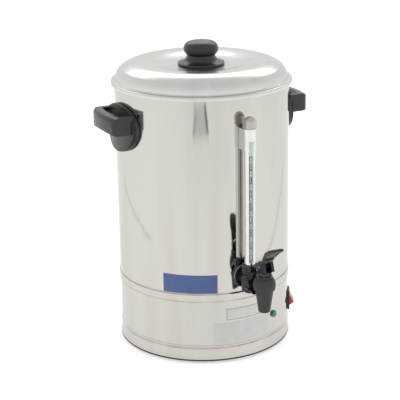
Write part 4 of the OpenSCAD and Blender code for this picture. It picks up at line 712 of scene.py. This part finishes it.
edge_grey, *_ = new_finish("table_edge_grey", {"Base Color": (0.12, 0.11, 0.1, 1), "Roughness": 0.8})
edge_w, edge_z = 0.008, 0.0006
for name, line in (
    ("table_edge_left", [(-0.951, -0.590), (-0.857, -0.387), (-0.830, 0.027), (-0.707, 0.288)]),
    ("table_edge_right", [(0.888, -0.696), (0.828, -0.331), (0.714, -0.050), (0.594, 0.309)]),
):
    corners = []
    for side, ahead in line:
        corners.append(toward_camera(side - edge_w / 2, ahead, edge_z))
        corners.append(toward_camera(side + edge_w / 2, ahead, edge_z))
    faces = [(2 * k, 2 * k + 1, 2 * k + 3, 2 * k + 2) for k in range(len(line) - 1)]
    mirror_only(stage_sheet(name, edge_grey, corners, faces))


# Studio light: a soft white room, with one wide lamp above and behind the urn and a smaller one on each
# side. The room looks whiter to the camera and to the steel than the light that it gives.

world = bpy.data.worlds.new("studio")
bpy.context.scene.world = world
world.use_nodes = True
tree = world.node_tree
tree.nodes.clear()
upward = parts_of(tree, add(tree, "TexCoord").outputs["Generated"])["Z"]
ceiling = between(tree, upward, 1.0, 0.8, start=0.1, stop=0.8)
soft_light = add(tree, "Background", {"Color": (1, 1, 1, 1), "Strength": 0.6}).outputs["Background"]
white_wall = add(tree, "Background", {"Color": (1, 1, 1, 1), "Strength": ceiling}).outputs["Background"]
room = add(tree, "MixShader", {0: seen_or_mirrored(tree), 1: soft_light, 2: white_wall}).outputs["Shader"]
add(tree, "OutputWorld", {"Surface": room})


def softbox(name, place, target, width, height, power):
    """A soft lamp with a flat face, aimed at a point of the urn."""
    light = bpy.data.lights.new(name, "AREA")
    light.shape = "RECTANGLE"
    light.size, light.size_y, light.energy = width, height, power
    lamp = bpy.data.objects.new(name, light)
    lamp.location = place
    lamp.rotation_euler = (Vector(target) - Vector(place)).to_track_quat("-Z", "Y").to_euler()
    bpy.context.scene.collection.objects.link(lamp)
    return lamp


place = toward_camera(side=0.0, ahead=-1.5, z=1.8)
softbox("lamp_above", place, target=(0, 0, 0.4), width=2.6, height=0.9, power=12)
for name, side, power in (("lamp_left", -1.5, 5), ("lamp_right", 1.5, 4.5)):
    place = toward_camera(side, ahead=0.8, z=1.4)
    lamp = softbox(name, place, target=(0, 0, 0.25), width=1.1, height=1.1, power=power)
    lamp.visible_glossy = False


# Camera: it stands ahead of the urn and to the tap's left, and looks down on it a little, with a long lens.
# Its place and its small turns are worked out in a frame that is swung round the urn to the camera's side.

lens_pixels, frame_pixels, sensor_w = 1261.7, 400, 36
pitch, roll, yaw = 0.31603, -0.015495, -0.002639
distance, height = 1.89142, 0.83784
swing = Matrix.Rotation(camera_azimuth, 3, "Z")
ahead = swing @ Vector((math.sin(yaw) * math.cos(pitch), math.cos(yaw) * math.cos(pitch), -math.sin(pitch)))
right = swing @ Vector((math.cos(yaw), -math.sin(yaw), 0))
up = right.cross(ahead)
right, up = right * math.cos(roll) + up * math.sin(roll), up * math.cos(roll) - right * math.sin(roll)
camera_data = bpy.data.cameras.new("camera")
camera_data.sensor_width = sensor_w
camera_data.lens = sensor_w * lens_pixels / frame_pixels
camera = bpy.data.objects.new("camera", camera_data)
bpy.context.scene.collection.objects.link(camera)
stand = Matrix.Translation(swing @ Vector((0, -distance, height)))
camera.matrix_world = stand @ Matrix((right, up, -ahead)).transposed().to_4x4()
bpy.context.scene.camera = camera
bpy.context.scene.view_settings.view_transform = "Standard"
